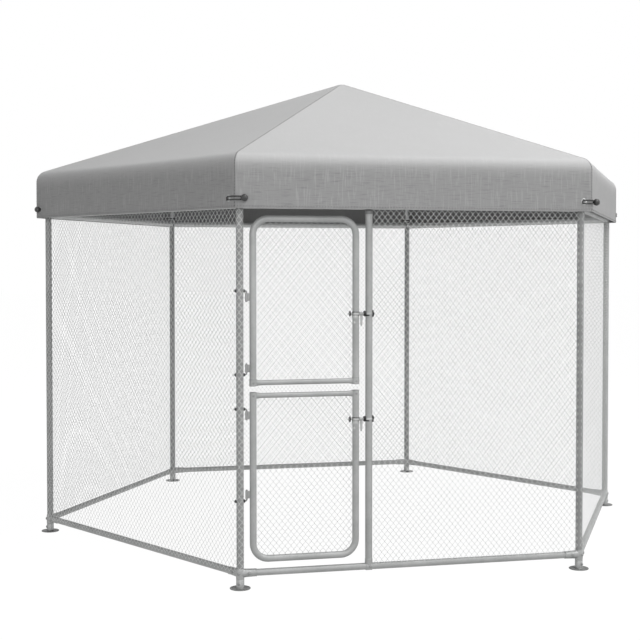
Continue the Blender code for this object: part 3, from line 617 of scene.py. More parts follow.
def black_stuff(name, low, high, roughness, ribs):
    """Rubber, plastic or thread between two dark greys, with fine ribs on its surface."""
    finish = Finish(name)
    spots = finish.noise(finish.place(), 220.0, 3.0)
    finish.set("Base Color", finish.blend(spots, grey(low), grey(high)))
    finish.set("Roughness", roughness + 0.2 * (spots - 0.5))
    return finish.bump(finish.noise(finish.place(), ribs), 0.0002).material


SEAM_THREAD = black_stuff("seam_thread", 0.05, 0.10, 0.8, 1500.0)
HEM_THREAD = black_stuff("hem_thread", 0.15, 0.25, 0.8, 1500.0)
ELASTIC_CORD = black_stuff("elastic_cord", 0.03, 0.06, 0.7, 900.0)
BALL_PLASTIC = black_stuff("ball_plastic", 0.03, 0.05, 0.35, 300.0)
print(len(bpy.data.materials), "finishes")

# %% [markdown]
# Posts and rails are straight round tubes. Plain cylinders would do from afar, but an open end
# looks right only with a bore and a wall. A floor rail ends inside its fitting, and a top rail
# bites into the post's curve.

# %% Posts and rails
FLOOR_RAIL_GAP = 0.005
TOP_RAIL_BITE = 0.003
BETWEEN_POSTS = HALF_SIDE - POST_TUBE


def upright(low, high, radius):
    return Shape().add(hollow([low * Z, high * Z], radius, Y), wrap=True)


def rail(reach, height, radius):
    ends = [side * reach * X + height * Z for side in (-1, 1)]
    return Shape().add(hollow(ends, radius, Y), wrap=True)


post = upright(POST_FOOT, POST_TOP, POST_TUBE)
floor_rail = rail(BETWEEN_POSTS - FLOOR_RAIL_GAP, FLOOR_RAIL_HEIGHT, FLOOR_RAIL_TUBE)
top_rail = rail(BETWEEN_POSTS + TOP_RAIL_BITE, TOP_RAIL_HEIGHT, TOP_RAIL_TUBE)
# Corner posts take the zinc with painted shade, head rails the one with painted light.
for index, (letter, side) in enumerate(zip(CORNERS, SIDES)):
    post.make(f"corner_post_{letter}", [SHADED_POST_ZINC], [f"post_{letter}"], "tube", corner_place(index))
    place = side_place(index)
    floor_rail.make(f"floor_rail_{side}", [TUBE_ZINC], [f"bottom_rail_{side}"], "tube", place)
    top_rail.make(f"head_rail_{side}", [LIT_ROOF_ZINC], [f"top_rail_{side}"], "tube", place)

# %% [markdown]
# A rafter is one bent tube: it rises out of a post on a flange, turns inwards and runs up under a
# ridge of the cover to the hub. A curve drawn by hand would drift from the cloth, so the line is
# worked out from the ridge's slope.

# %% Rafters
COVER_OVERHANG = 0.068
COVER_RADIUS = CORNER_RADIUS + COVER_OVERHANG
COVER_TOP = top("cover")
COVER_BOTTOM = bottom("cover")
SHOULDER_ABOVE_POSTS = 0.222
SHOULDER_HEIGHT = POST_TOP + SHOULDER_ABOVE_POSTS
TOP_FLAT = 0.0175
RIDGE_SLOPE = (COVER_TOP - SHOULDER_HEIGHT) / (COVER_RADIUS - TOP_FLAT)
RIDGE_TURN = math.pi / 2 - math.atan(RIDGE_SLOPE)
POINT_HEIGHT = COVER_TOP + RIDGE_SLOPE * TOP_FLAT
RAFTER_BELOW_RIDGE = 0.0145
RAFTER_FROM_MIDDLE = 0.035
BEND_SHARE = 0.96
FLANGE_HEIGHT = 0.006
FLANGE_RIM = 0.0015


def rafter_line():
    """Up from the post, round a bend that fills the corner, and along the ridge, in the XZ plane.

    height = point - slope * distance from the middle - the gap under the ridge.
    """
    meeting = POINT_HEIGHT - RAFTER_BELOW_RIDGE - RIDGE_SLOPE * CORNER_RADIUS
    rise = meeting - POST_TOP - FLANGE_HEIGHT
    radius = BEND_SHARE * rise / math.tan(RIDGE_TURN / 2)
    end = RAFTER_FROM_MIDDLE - CORNER_RADIUS
    corners = [(0, 0, POST_TOP), (0, 0, meeting), (end, 0, meeting - RIDGE_SLOPE * end)]
    return rounded(corners, radius, steps=20)


rafter = Shape().add(hollow(rafter_line(), RAFTER_TUBE, Y, sides=24), wrap=True)
rafter.add(disc(FLANGE_HEIGHT, POST_TUBE, FLANGE_RIM, (POST_TOP + SEAT) * Z))
# Rafters take the zinc with painted light.
for index, letter in enumerate(CORNERS):
    place = corner_place(index)
    rafter.make(f"roof_tube_{letter}", [LIT_ROOF_ZINC], [f"rafter_{letter}"], "tube", place)

# %% [markdown]
# Each corner stands on a round plate with a short tube. A three-way fitting above it takes the post
# and two floor rails, clamped by round-headed bolts. Cylinders joined by a Boolean would meet in
# hard edges, so each sleeve is turned from a profile that swells towards its root.

# %% Feet and corner fittings
PLATE_RADIUS = 0.050
PLATE_THICKNESS = 0.004
PLATE_EDGE = 0.0008
FOOT_TUBE = 0.0195
FOOT_SEAM = 0.046
SLEEVE = 0.0187
SLEEVE_LENGTH = 0.080
SLEEVE_SWELLING = 0.0022
SOCKET = 0.0198
SOCKET_TOP = FLOOR_RAIL_HEIGHT + 0.0225
BOLT_HEAD = 0.0074
BOLT_RISE = 0.0055
BOLT_FROM_SOCKET = 0.0012
ARM_BOLT_FROM_POST = 0.040
FOOT_BOLT_HEIGHT = 0.026


def bolt(shape, at, axis):
    return shape.add(round_head(BOLT_HEAD, BOLT_RISE, at, axis), finish=1)


def sleeve_profile():
    """From the root: radius + swelling * cos(t of a quarter turn) squared, then a rolled rim."""
    along = np.linspace(0, 1, 12)
    swollen = SLEEVE + SLEEVE_SWELLING * np.cos(along * np.pi / 2) ** 2
    body = np.column_stack([along * (SLEEVE_LENGTH - 0.003), swollen])
    rim = [(SLEEVE_LENGTH - 0.002, SLEEVE + 0.0006), (SLEEVE_LENGTH, SLEEVE - 0.0004)]
    return np.concatenate([body, rim])


plate_profile = [
    (0, PLATE_RADIUS - PLATE_EDGE),
    (PLATE_EDGE, PLATE_RADIUS),
    (PLATE_THICKNESS - PLATE_EDGE, PLATE_RADIUS),
    (PLATE_THICKNESS, PLATE_RADIUS - PLATE_EDGE),
    (PLATE_THICKNESS, FOOT_TUBE + 0.004),
    (PLATE_THICKNESS + 0.0015, FOOT_TUBE + 0.0025),
    (PLATE_THICKNESS + 0.004, FOOT_TUBE),
]
foot_profile = [
    (PLATE_THICKNESS, FOOT_TUBE),
    (FOOT_SEAM - 0.001, FOOT_TUBE),
    (FOOT_SEAM, FOOT_TUBE - 0.0008),
    (FOOT_SEAM + 0.001, SOCKET),
    (FLOOR_RAIL_HEIGHT - 0.012, SOCKET + 0.0006),
    (FLOOR_RAIL_HEIGHT, SOCKET + 0.0018),
    (FLOOR_RAIL_HEIGHT + 0.012, SOCKET + 0.0006),
    (SOCKET_TOP - 0.002, SOCKET),
    (SOCKET_TOP, SOCKET - 0.0012),
]
foot_plate = Shape().add(turned(plate_profile, sides=48))
corner_fitting = Shape().add(turned(foot_profile, sides=48))
fitting_centre = FLOOR_RAIL_HEIGHT * Z
for side, way in WALL_WAYS.items():
    corner_fitting.add(turned(sleeve_profile(), fitting_centre, way))
    on_sleeve = ARM_BOLT_FROM_POST * way + (SLEEVE + SEAT) * WALL_OUTS[side]
    bolt(corner_fitting, fitting_centre + on_sleeve, WALL_OUTS[side])
bolt(corner_fitting, (SOCKET + BOLT_FROM_SOCKET, 0, FLOOR_RAIL_HEIGHT), X)
bolt(corner_fitting, (FOOT_TUBE - SEAT, 0, FOOT_BOLT_HEIGHT), X)
fitting_finishes = [FITTING_ZINC, SEAM_ZINC]
for index, letter in enumerate(CORNERS):
    node, place = [f"foot_{letter}"], corner_place(index)
    foot_plate.make(f"foot_plate_{letter}", [PLATE_ZINC], node, "fitting", place)
    corner_fitting.make(f"corner_fitting_{letter}", fitting_finishes, node, "fitting", place)

# %% [markdown]
# The latch post stands beside the door on a tee that grips the floor rail, and ends in a dark
# rounded cap under the top rail. A Boolean could join the two drums of the tee, but it is enough
# that they cross.

# %% Latch post, its tee and its cap
TEE_LENGTH = 0.033
TEE_PROUD = 0.0008
TEE_BEVEL = 0.0015
COLLAR_PROUD = 0.0014
COLLAR_BEVEL = 0.0012
TEE_COLLAR_HEIGHT = 0.030
TEE_COLLAR_ABOVE_RAIL = 0.008
CAP_HEIGHT = 0.025
CAP_RADIUS = 0.019
CAP_BEVEL = 0.004
TEE_BOLT_PLACE = (0.005, -SLEEVE - 0.0005, FLOOR_RAIL_HEIGHT)
POST_IN_CAP = 0.010
LATCH_POST_PLACE = turn_about_z(0, (LATCH_POST_X, -SIDE_DISTANCE, 0))
cap_bottom = TOP_RAIL_HEIGHT - TOP_RAIL_TUBE - CAP_HEIGHT

grip_end = (-TEE_LENGTH / 2, 0, FLOOR_RAIL_HEIGHT)
collar_end = (FLOOR_RAIL_HEIGHT + TEE_COLLAR_ABOVE_RAIL) * Z
tee = Shape().add(disc(TEE_LENGTH, SLEEVE + TEE_PROUD, TEE_BEVEL, grip_end, X))
tee.add(disc(TEE_COLLAR_HEIGHT, POST_TUBE + COLLAR_PROUD, COLLAR_BEVEL, collar_end))
bolt(tee, TEE_BOLT_PLACE, -Y)
tee.make("latch_post_tee", fitting_finishes, ["door_post_tee"], "fitting", LATCH_POST_PLACE)
latch_post = upright(FLOOR_RAIL_HEIGHT + FLOOR_RAIL_TUBE, cap_bottom + POST_IN_CAP, POST_TUBE)
latch_post.make("latch_post", [TUBE_ZINC], ["door_post"], "tube", LATCH_POST_PLACE)
cap = Shape().add(disc(CAP_HEIGHT - SEAT, CAP_RADIUS, CAP_BEVEL, cap_bottom * Z))
cap.make("latch_post_cap", [PLATE_ZINC], ["door_post"], "bolt", LATCH_POST_PLACE)

# %% [markdown]
# Diamond netting is made of flattened spirals. Each wire zigzags up between two columns, to the
# right in front and to the left behind, and hooks round its neighbour's bend. A picture with holes
# could stand for it, but blurs close up. So each wire is real: four points where it arrives at a
# bend and four where it leaves, and all wires are one array. A wire is drawn as a flat strip,
# because the side seen edge-on in the photograph stays open, where round wire would close it.

# %% Wires of the netting
WIRE = 0.0012
WIRE_FLAT = 0.0002
CORNER_REACH = 1.15
WIRE_OFFSET = 0.0003
HOOK_PAST_COLUMN = 0.6 * WIRE
HALF_BEND = 0.5 * WIRE
DIAMOND_WIDTH = 0.0292
DIAMOND_HEIGHT = 0.0353


def netting_rings(left, right, low, high, plane):
    """Rings of every wire, as (wires, rings, 4, 3).

    At level j the wire in column i is at its right side where i + j is odd. x = left + (i + odd) *
    step, hooked a little past the column. z = low + j * step, less or more by half a bend. y is in
    front of the plane on the way to the right and behind it on the way to the left. The four
    corners of the strip are centre + reach * (cos a * flat * Y + sin a * wide * sideways).
    """
    columns = round((right - left) / (DIAMOND_WIDTH / 2))
    levels = round((high - low) / (DIAMOND_HEIGHT / 2))
    step_x = (right - left) / columns
    step_z = (high - low) / levels
    column, level, leaving = np.ogrid[:columns, : levels + 1, :2]
    at_right = (column + level) % 2
    going_right = np.where(leaving == 1, 1 - at_right, at_right)
    x = left + (column + at_right) * step_x + (2 * at_right - 1) * HOOK_PAST_COLUMN
    y = plane + WIRE_OFFSET * (1 - 2 * going_right)
    z = low + level * step_z + HALF_BEND * (2 * leaving - 1)
    centre = np.stack(np.broadcast_arrays(x, y, z), -1).reshape(columns, -1, 3)
    across_step = (2 * going_right - 1) * step_x
    slant = np.stack(np.broadcast_arrays(across_step, 0.0, step_z), -1).reshape(columns, -1, 3)
    square = np.cross(unit(slant), Y)
    angle = (np.arange(4) + 0.5) * np.pi / 2
    across = np.cos(angle)[:, None] * Y
    sideways = np.sin(angle)[:, None] * square[:, :, None]
    return centre[:, :, None] + CORNER_REACH * (WIRE_FLAT * across + WIRE * sideways)


print(f"strips {2000 * CORNER_REACH * WIRE * math.sqrt(0.5):.2f} mm wide")

# %% [markdown]
# Netting is stretched over the outside of the posts. It could end at each post, but a length is cut
# longer than its side and wraps round the post, a third of the way round on the hinge side. So
# whatever runs past a side is bent round the post's middle.

# %% Netting of the sides
NETTING_FROM_POST = 0.002
NETTING_REACH = POST_TUBE + NETTING_FROM_POST
NETTING_HIGH = top("net_cd")
OVER_RAIL = bottom("net_cd")
ABOVE_RAIL = FLOOR_RAIL_HEIGHT + FLOOR_RAIL_TUBE
TO_SIDE_BEFORE = NETTING_REACH * SIXTH
ROUND_HINGE_POST = NETTING_REACH * math.radians(126)


def side_netting(left, right, low):
    """Bends what runs past either end of a side round the post: x = end + r sin a, y = -r cos a."""
    rings = netting_rings(left, right, low, NETTING_HIGH, -NETTING_REACH)
    on_side = np.clip(rings[..., 0], -HALF_SIDE, HALF_SIDE)
    angle = (rings[..., 0] - on_side) / NETTING_REACH
    reach = -rings[..., 1]
    bent = [on_side + reach * np.sin(angle), -reach * np.cos(angle), rings[..., 2]]
    return Shape().add(np.stack(bent, -1))


netting = dict.fromkeys(SIDES, side_netting(-HALF_SIDE - TO_SIDE_BEFORE, HALF_SIDE, ABOVE_RAIL))
netting["ab"] = side_netting(LATCH_POST_X + POST_TUBE, BETWEEN_POSTS, ABOVE_RAIL)
netting["fa"] = side_netting(-HALF_SIDE, HALF_SIDE + ROUND_HINGE_POST, OVER_RAIL)
for index, (side, length) in enumerate(netting.items()):
    node, place = [f"net_{side}"], side_place(index)
    length.make(f"netting_{side}", [WIRE_ZINC], node, "wire", place, sharp=60)

# %% [markdown]
# A leaf is one tube bent round two corners. A bar closes its open end: a thinner tube, pressed flat
# where it is riveted to the uprights. Two barrels turn on the hinge hooks. The bar could be a
# cylinder squeezed at both ends, but a section that eases from flat to round keeps its true size.

# %% Tubes of the door leaves
HINGE_GAP = 0.0295
LATCH_GAP = 0.0325
LEAF_BEND = 0.075
BAR_TUBE = 0.0125
BAR_FLAT = (0.007, 0.016)
BAR_FLARE = 0.034
BAR_FROM_END = 0.0163
COLLAR_HEIGHT = 0.034
LEAF_COLLAR_PROUD = 0.0012
LEAF_COLLAR_BEVEL = 0.0008
RIVET_HEAD = 0.006
RIVET_RISE = 0.003
SEAM_RING = 0.0022
SEAM_RING_BEVEL = 0.0004
BARREL = 0.0065
BARREL_LENGTH = 0.040
BARREL_PLATE = (0.0024, BARREL_LENGTH / 2 - 0.002)
PLATE_IN_BARREL = 0.001
PLATE_IN_TUBE = 0.002
PIN = 0.004
PIN_PAST_BARREL = 0.004
LEAF_LEFT = HINGE_GAP / 2 + LEAF_TUBE
LEAF_RIGHT = LATCH_POST_X - POST_TUBE - LATCH_GAP - LEAF_TUBE - HINGE_X
HINGE_PLACE = turn_about_z(0, (HINGE_X, HINGE_Y, 0))
# Each leaf, with the way from its open end to its bent one: 1 is up.
LEAVES = {"upper": 1, "lower": -1}


def leaf_bar(height):
    """A bar along X. size = flat * (1 - e) + round * e, where e = 3 t t - 2 t t t eases in."""
    reach = np.linspace(0, 1, 8)
    start, end = LEAF_LEFT + LEAF_TUBE / 2, LEAF_RIGHT - LEAF_TUBE / 2
    x = np.concatenate([start + BAR_FLARE * reach, (end - BAR_FLARE * reach)[::-1]])
    ease = (3 * reach**2 - 2 * reach**3)[:, None]
    size = np.array(BAR_FLAT) * (1 - ease) + BAR_TUBE * ease
    return sweep(x[:, None] * X + height * Z, np.concatenate([size, size[::-1]]), Y)


def leaf_shape(name, way):
    """The bent tube, the bar across its open end with its rivets, and the two barrels."""
    node = f"{name}_leaf_frame"
    opened, bent = (bottom(node), top(node))[::way]
    far = bent - way * LEAF_TUBE
    left, right = LEAF_LEFT * X, LEAF_RIGHT * X
    corners = [left + opened * Z, left + far * Z, right + far * Z, right + opened * Z]
    shape = Shape().add(hollow(rounded(corners, LEAF_BEND, 16), LEAF_TUBE, Y), wrap=True)
    bar_height = opened + way * BAR_FROM_END
    shape.add(leaf_bar(bar_height))
    has_collars = name == "upper"
    front = LEAF_TUBE + has_collars * LEAF_COLLAR_PROUD
    for tube in (left, right):
        if has_collars:
            shape.add(disc(COLLAR_HEIGHT, front, LEAF_COLLAR_BEVEL, tube + opened * Z), finish=1)
            seam_at = tube + (opened + COLLAR_HEIGHT - SEAM_RING) * Z
            shape.add(disc(SEAM_RING, front + SEAT, SEAM_RING_BEVEL, seam_at), finish=2)
        end_at = tube + opened * Z
        shape.add(disc(SEAM_RING, front + SEAT, SEAM_RING_BEVEL, end_at, way * Z), finish=2)
        on_bar = tube + (SEAT - front) * Y + bar_height * Z
        shape.add(round_head(RIVET_HEAD, RIVET_RISE, on_bar, -Y), finish=2)
    for end in ("top", "bottom"):
        hook_low, hook_high = (corner.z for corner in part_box(f"{name}_leaf_{end}_hinge_bolt"))
        if end == "top":
            low = hook_low + PIN_PAST_BARREL
        else:
            low = hook_high - PIN_PAST_BARREL - BARREL_LENGTH
        wall = BARREL - PIN - SEAT
        barrel = hollow([low * Z, (low + BARREL_LENGTH) * Z], BARREL, Y, wall, 24)
        shape.add(barrel, wrap=True, finish=1)
        ends = np.array((BARREL - PLATE_IN_BARREL, LEAF_LEFT - LEAF_TUBE + PLATE_IN_TUBE))
        plate = ends[:, None] * X + (low + BARREL_LENGTH / 2) * Z
        shape.add(sweep(plate, BARREL_PLATE, Y, 24), finish=1)
    return shape


leaf_finishes = [TUBE_ZINC, FITTING_ZINC, SEAM_ZINC]
for name, way in LEAVES.items():
    leaf, node = f"{name}_leaf", [f"{name}_leaf_frame"]
    tubes = leaf_shape(name, way)
    tubes.make(f"{name}_door_tubes", leaf_finishes, node, "tube", HINGE_PLACE, leaf)

# %% [markdown]
# A leaf's netting lies behind its tube and follows the round corners. A Boolean could cut it, but
# would be slow on so many wires. So a rectangle of netting is made, and faces outside the tube's
# middle line are left out. The tube hides the cut ends.

# %% Netting of the leaves


def inside_leaf(low, high, way):
    """A test for points within the middle line of a leaf's tube, round corners included.

    With past and beyond the distances out of the part without a bend, a point is inside where
    past * past + beyond * beyond < (bend + wire) squared.
    """
    bend = (high if way > 0 else low) - way * LEAF_BEND
    left, right = LEAF_LEFT + LEAF_BEND, LEAF_RIGHT - LEAF_BEND

    def test(points):
        past = np.maximum(np.maximum(left - points[:, 0], points[:, 0] - right), 0)
        beyond = np.maximum(way * (points[:, 2] - bend), 0)
        return np.hypot(past, beyond) < LEAF_BEND + WIRE

    return test


behind_tube = LEAF_TUBE + SEAT + WIRE_FLAT + WIRE_OFFSET
for name, way in LEAVES.items():
    leaf, node = f"{name}_leaf", f"{name}_leaf_net"
    low, high = bottom(node), top(node)
    wires = Shape().add(netting_rings(LEAF_LEFT, LEAF_RIGHT, low, high, behind_tube))
    wires.trim(inside_leaf(low, high, way))
    wires.make(f"{name}_door_netting", [WIRE_ZINC], [node], "wire", HINGE_PLACE, leaf, 60)

# %% [markdown]
# Each leaf hangs on two hooked bolts, which go through the corner post with a nut on each side. One
# enters its barrel from above and one from below, so that the leaf can't be lifted out. Two
# cylinders that meet would show a corner, so a hook is one round bar swept along a bent line.

# %% Hinge bolts
HOOK_BEND = 0.008
NUT = 0.0085
NUT_THICKNESS = 0.006
NUT_SIDES = 6
NUT_BEVEL = 0.0006
BOLT_TAIL = 0.006
HOOK_ABOVE_BARREL = 0.010
HINGE_FROM_POST = POST_TUBE + HINGE_GAP / 2
near_nut = -HINGE_GAP / 2 + SEAT
far_nut = -HINGE_FROM_POST - POST_TUBE - SEAT - NUT_THICKNESS

for name in LEAVES:
    for end, side in (("top", -1), ("bottom", 1)):
        node = f"{name}_leaf_{end}_hinge_bolt"
        pin_end = bottom(node) if end == "top" else top(node)
        height = pin_end - side * (HOOK_ABOVE_BARREL + BARREL_LENGTH + PIN_PAST_BARREL)
        hook = [(far_nut - BOLT_TAIL, 0, height), (0, 0, height), (0, 0, pin_end)]
        shape = Shape().add(sweep(rounded(hook, HOOK_BEND), PIN, Y, SMALL_ROUND))
        for x in (near_nut, far_nut):
            nut = disc(NUT_THICKNESS, NUT, NUT_BEVEL, (x, 0, height), X, NUT_SIDES)
            shape.add(nut, finish=1)
        shape.make(f"{name}_{end}_hook", [SEAM_ZINC, DARK_STEEL], [node], "bolt", HINGE_PLACE)

# %% [markdown]
# A latch turns on a bolt through the leaf's tube, held by a bent strap over a dark liner, with a
# small clamp below. A strap could be cut from a thin cylinder, but a flat section swept round the
# tube also gives its two straight legs.

# %% Latch straps on the leaves
STRAP_WIDTH = 0.014
STRAP_THICKNESS = 0.002
STRAP_LEG = 0.008
LINER_PROUD = 0.0028
STOP_DISC = 0.0135
STOP_DISC_THICKNESS = 0.005
STOP_DISC_BEVEL = 0.0008
STOP_DISC_FROM_TUBE = 0.0105
LATCH_BOLT_TAIL = 0.0215
CLAW_LENGTH = 0.015
CLAW_FROM_LEAF = 0.004
CLAW_MIDDLE = LEAF_TUBE + CLAW_FROM_LEAF + CLAW_LENGTH / 2
HALF_BOLT_GAP = 0.0008
CLAMP_BOLT_BELOW = 0.0435
CLAMP_TURN = math.radians(44)
FLAP_WIDTH = 0.016
LATCH_FINISHES = [LATCH_ZINC, DARK_STEEL]


def half_round(radius, steps=24):
    """A half circle in front of an upright tube, from its left side to its right side."""
    angle = np.linspace(np.pi, 2 * np.pi, steps + 1)[:, None]
    return radius * (np.cos(angle) * X + np.sin(angle) * Y)


def strap_shape():
    """Strap, liner, bolt, stop disc and the small clamp. The origin is on the bolt."""
    around = LEAF_TUBE + SEAT + STRAP_THICKNESS / 2
    arc = half_round(around)
    left_leg, right_leg = ([(side * around, STRAP_LEG, 0)] for side in (-1, 1))
    half_width, half_thickness = STRAP_WIDTH / 2, STRAP_THICKNESS / 2
    strap = np.concatenate([left_leg, arc, right_leg])
    shape = Shape().add(sweep(strap, (half_width, half_thickness), Z))
    liner = (half_width + LINER_PROUD, half_thickness - SEAT)
    shape.add(sweep(arc, liner, Z), finish=1)
    bolt_left = -LEAF_TUBE - LATCH_BOLT_TAIL
    shape.add(sweep([bolt_left * X, (CLAW_MIDDLE - HALF_BOLT_GAP) * X], PIN, Y, SMALL_ROUND))
    disc_left = -LEAF_TUBE - STOP_DISC_FROM_TUBE - STOP_DISC_THICKNESS
    stop = disc(STOP_DISC_THICKNESS, STOP_DISC, STOP_DISC_BEVEL, disc_left * X, X, 24)
    shape.add(stop, finish=1)
    flap = np.concatenate([left_leg, arc])[1:17] - (STRAP_WIDTH + FLAP_WIDTH) / 2 * Z
    shape.add(sweep(flap, (FLAP_WIDTH / 2, half_thickness), Z))
    way = heading(-math.pi / 2 - CLAMP_TURN)
    clamp_at = (LEAF_TUBE - SEAT) * way - CLAMP_BOLT_BELOW * Z
    return shape.add(round_head(BOLT_HEAD, BOLT_RISE, clamp_at, way))


for name, height in LATCH_HEIGHTS.items():
    leaf, node = f"{name}_leaf", [f"{name}_latch_bracket"]
    place = HINGE_PLACE @ turn_about_z(0, (LEAF_RIGHT, 0, height))
    strap_shape().make(f"{name}_latch_strap", LATCH_FINISHES, node, "fitting", place, leaf)

# %% [markdown]
# The moving part is a claw with a hanging handle: a ring that turns on the leaf's bolt, and beside
# it a hook that holds the tip of the latch post's bolt. The hook is open at the top. Lifted by its
# handle, it opens to the back, and the leaf can swing out. Ring and hook could be cut from one
# drum, but two sweeps keep their walls even.

# %% Claws with their handles
CLAW = 0.009
CLAW_WALL = CLAW - PIN - 2 * SEAT
CLAW_LIP = 0.006
HANDLE_LENGTH = 0.061
HANDLE_OVERLAP = 0.002
HANDLE_HALF_THICKNESS = 0.0019
HANDLE_TAPER = 0.4
ROUND_END_FROM = 0.9
ROUND_END = 96


def claw_shape():
    """Ring, open hook and hanging handle. The origin is in the middle of the claw.

    The handle's half width is half * (1 - taper * t) * sqrt(1 - end * (t - from) squared), where
    the root counts only past from.
    """
    half = CLAW_LENGTH / 2
    ring = hollow([-half * X, -SEAT * X], CLAW, Y, CLAW_WALL, 24)
    shape = Shape().add(ring, wrap=True)
    around = CLAW - CLAW_WALL / 2
    left_lip, right_lip = ([(0, side * around, CLAW_LIP)] for side in (-1, 1))
    arc = half_round(around, 16)[:, [2, 0, 1]]
    hook = np.concatenate([left_lip, arc, right_lip]) + half / 2 * X
    shape.add(sweep(hook, (half / 2, CLAW_WALL / 2), X, 24))
    down = np.linspace(0, 1, 14)
    start = HANDLE_OVERLAP - CLAW
    height = start - (HANDLE_LENGTH + start) * down
    closing = np.sqrt(1 - np.clip(down - ROUND_END_FROM, 0, 1) ** 2 * ROUND_END)
    width = half * (1.0 - HANDLE_TAPER * down) * closing
    section = np.column_stack([width, 0 * width + HANDLE_HALF_THICKNESS])
    return shape.add(sweep(height[:, None] * Z, section, X, 24))


for name, height in LATCH_HEIGHTS.items():
    latch, node = f"{name}_latch", [f"{name}_latch_handle"]
    place = HINGE_PLACE @ turn_about_z(0, (LEAF_RIGHT, 0, height))
    place = place @ turn_about_z(0, (CLAW_MIDDLE, 0, 0))
    claw_shape().make(f"{name}_claw", LATCH_FINISHES, node, "fitting", place, latch)

# %% [markdown]
# The latch post carries the bolt that the claw holds, with a thick dark disc on its left, a washer
# on its right, a bright band round the post and a short dark one below it. The bands could be cut
# from a thin cylinder, but the half circle of the strap serves again.

# %% Catches on the latch post
CATCH_DISC = 0.009
CATCH_DISC_BEVEL = 0.0012
WASHER = 0.017
WASHER_THICKNESS = 0.005
WASHER_BEVEL = 0.002
CATCH_TAIL = 0.003
SADDLE_WIDTH = 0.010
BAND_WIDTH = 0.006


def catch_shape():
    """Bolt, disc, washer and saddle. The origin is on the latch post's middle line."""
    tip = HINGE_X + LEAF_RIGHT + CLAW_MIDDLE + HALF_BOLT_GAP - LATCH_POST_X
    side = POST_TUBE + SEAT
    catch_bolt = [tip * X, (side + WASHER_THICKNESS + CATCH_TAIL) * X]
    shape = Shape().add(sweep(catch_bolt, PIN, Y, SMALL_ROUND), finish=1)
    disc_left = (-side - CATCH_DISC) * X
    shape.add(disc(CATCH_DISC, STOP_DISC, CATCH_DISC_BEVEL, disc_left, X, 24))
    saddle = half_round(side + STRAP_THICKNESS / 2)
    shape.add(sweep(saddle, (SADDLE_WIDTH / 2, STRAP_THICKNESS / 2), Z), finish=1)
    band = saddle[:12] - (SADDLE_WIDTH + BAND_WIDTH) / 2 * Z
    shape.add(sweep(band, (BAND_WIDTH / 2, STRAP_THICKNESS / 2), Z))
    return shape.add(disc(WASHER_THICKNESS, WASHER, WASHER_BEVEL, side * X, X))


for name, height in LATCH_HEIGHTS.items():
    place = turn_about_z(0, (LATCH_POST_X, -SIDE_DISTANCE, height))
    node = [f"{name}_latch_strike"]
    catch_shape().make(f"{name}_catch", LATCH_FINISHES[::-1], node, "bolt", place)

# %% [markdown]
# Six rafters meet in a hub under the point of the cover. It could have six sockets, but it is
# hidden, so a turned cone of the cover's slope is enough.

# %% Hub
HUB = 0.055
HUB_BORE = 0.012
HUB_TOP_FLAT = 0.015
FACE_SLOPE = RIDGE_SLOPE / math.cos(SIXTH / 2)
hub_low, hub_high = bottom("hub"), top("hub")
hub_rim = hub_high - FACE_SLOPE * (HUB - HUB_TOP_FLAT)
hub_profile = [
    (hub_low, HUB_BORE),
    (hub_low, HUB - 0.002),
    (hub_low + 0.002, HUB),
    (hub_rim - 0.001, HUB),
    (hub_rim, HUB - 0.001),
    (hub_high, HUB_TOP_FLAT),
]
Shape().add(turned(hub_profile, sides=48)).make("roof_hub", [FITTING_ZINC], ["hub"], "fitting")

# %% [markdown]
# The cover is six panels, each a strip for the skirt and a triangle for the slope. A cloth
# simulation could hang it, but it is held stretched over the rafters, so its shape is known and is
# worked out. A row is a line at one distance along the cloth. This cell gives the rows at a corner:
# up the skirt, round the shoulder and up the ridge.

# %% Rows of the cover
SHOULDER_BEND = 0.068
SKIRT_ROWS, BEND_ROWS, SLOPE_ROWS = 13, 12, 30
POINT_FLAT = 0.004


def cover_rows():
    """Corner radius, height and distance along the cloth of each row, from the hem to the point."""
    bend_start = SHOULDER_HEIGHT - SHOULDER_BEND * math.tan(RIDGE_TURN / 2)
    skirt = np.linspace(COVER_BOTTOM, bend_start, SKIRT_ROWS)
    skirt = np.column_stack([0 * skirt + COVER_RADIUS, skirt])
    angle = np.linspace(0, RIDGE_TURN, BEND_ROWS)[1:, None]
    centre = np.array((COVER_RADIUS - SHOULDER_BEND, bend_start))
    bend = centre + SHOULDER_BEND * np.column_stack([np.cos(angle), np.sin(angle)])
    reach = np.linspace(bend[-1, 0], TOP_FLAT, SLOPE_ROWS)[1:]
    slope = np.column_stack([reach, POINT_HEIGHT - RIDGE_SLOPE * reach])
    profile = np.concatenate([skirt, bend, slope, [(POINT_FLAT, COVER_TOP)]])
    return *profile.T, distance_along(profile)


row_radius, row_height, row_along = cover_rows()
print(f"{len(row_along)} rows, {row_along[-1]:.3f} m from the hem to the point")

# %% [markdown]
# Between two rafters the cloth is free: it sags on the slopes, creases at the shoulder, and its hem
# waves. Sculpting could give that, but sine waves that fade towards the rafters stay smooth and
# keep the corners where the rafters hold them.

# %% Surface of the cover
ROUNDING = 0.018
MOST_ROUNDING = 0.3
SAG = 0.012
SAG_POWERS = (0.7, 0.8)
PHASE_STEP = 1.7
HEM_WAVE = 0.0012
HEM_WAVE_LENGTH = 0.31
HEM_WAVE_FADES = 0.08
CREASE = 0.0016
CREASE_LENGTHS = ((0.083, 1.0), (0.13, 2.1))
CREASE_FADES = 0.035
FADE_TO_POINT = 12
PANEL_SHIFT = 3.0
PANEL_COLUMNS = 78
ARC_COLUMNS = 8


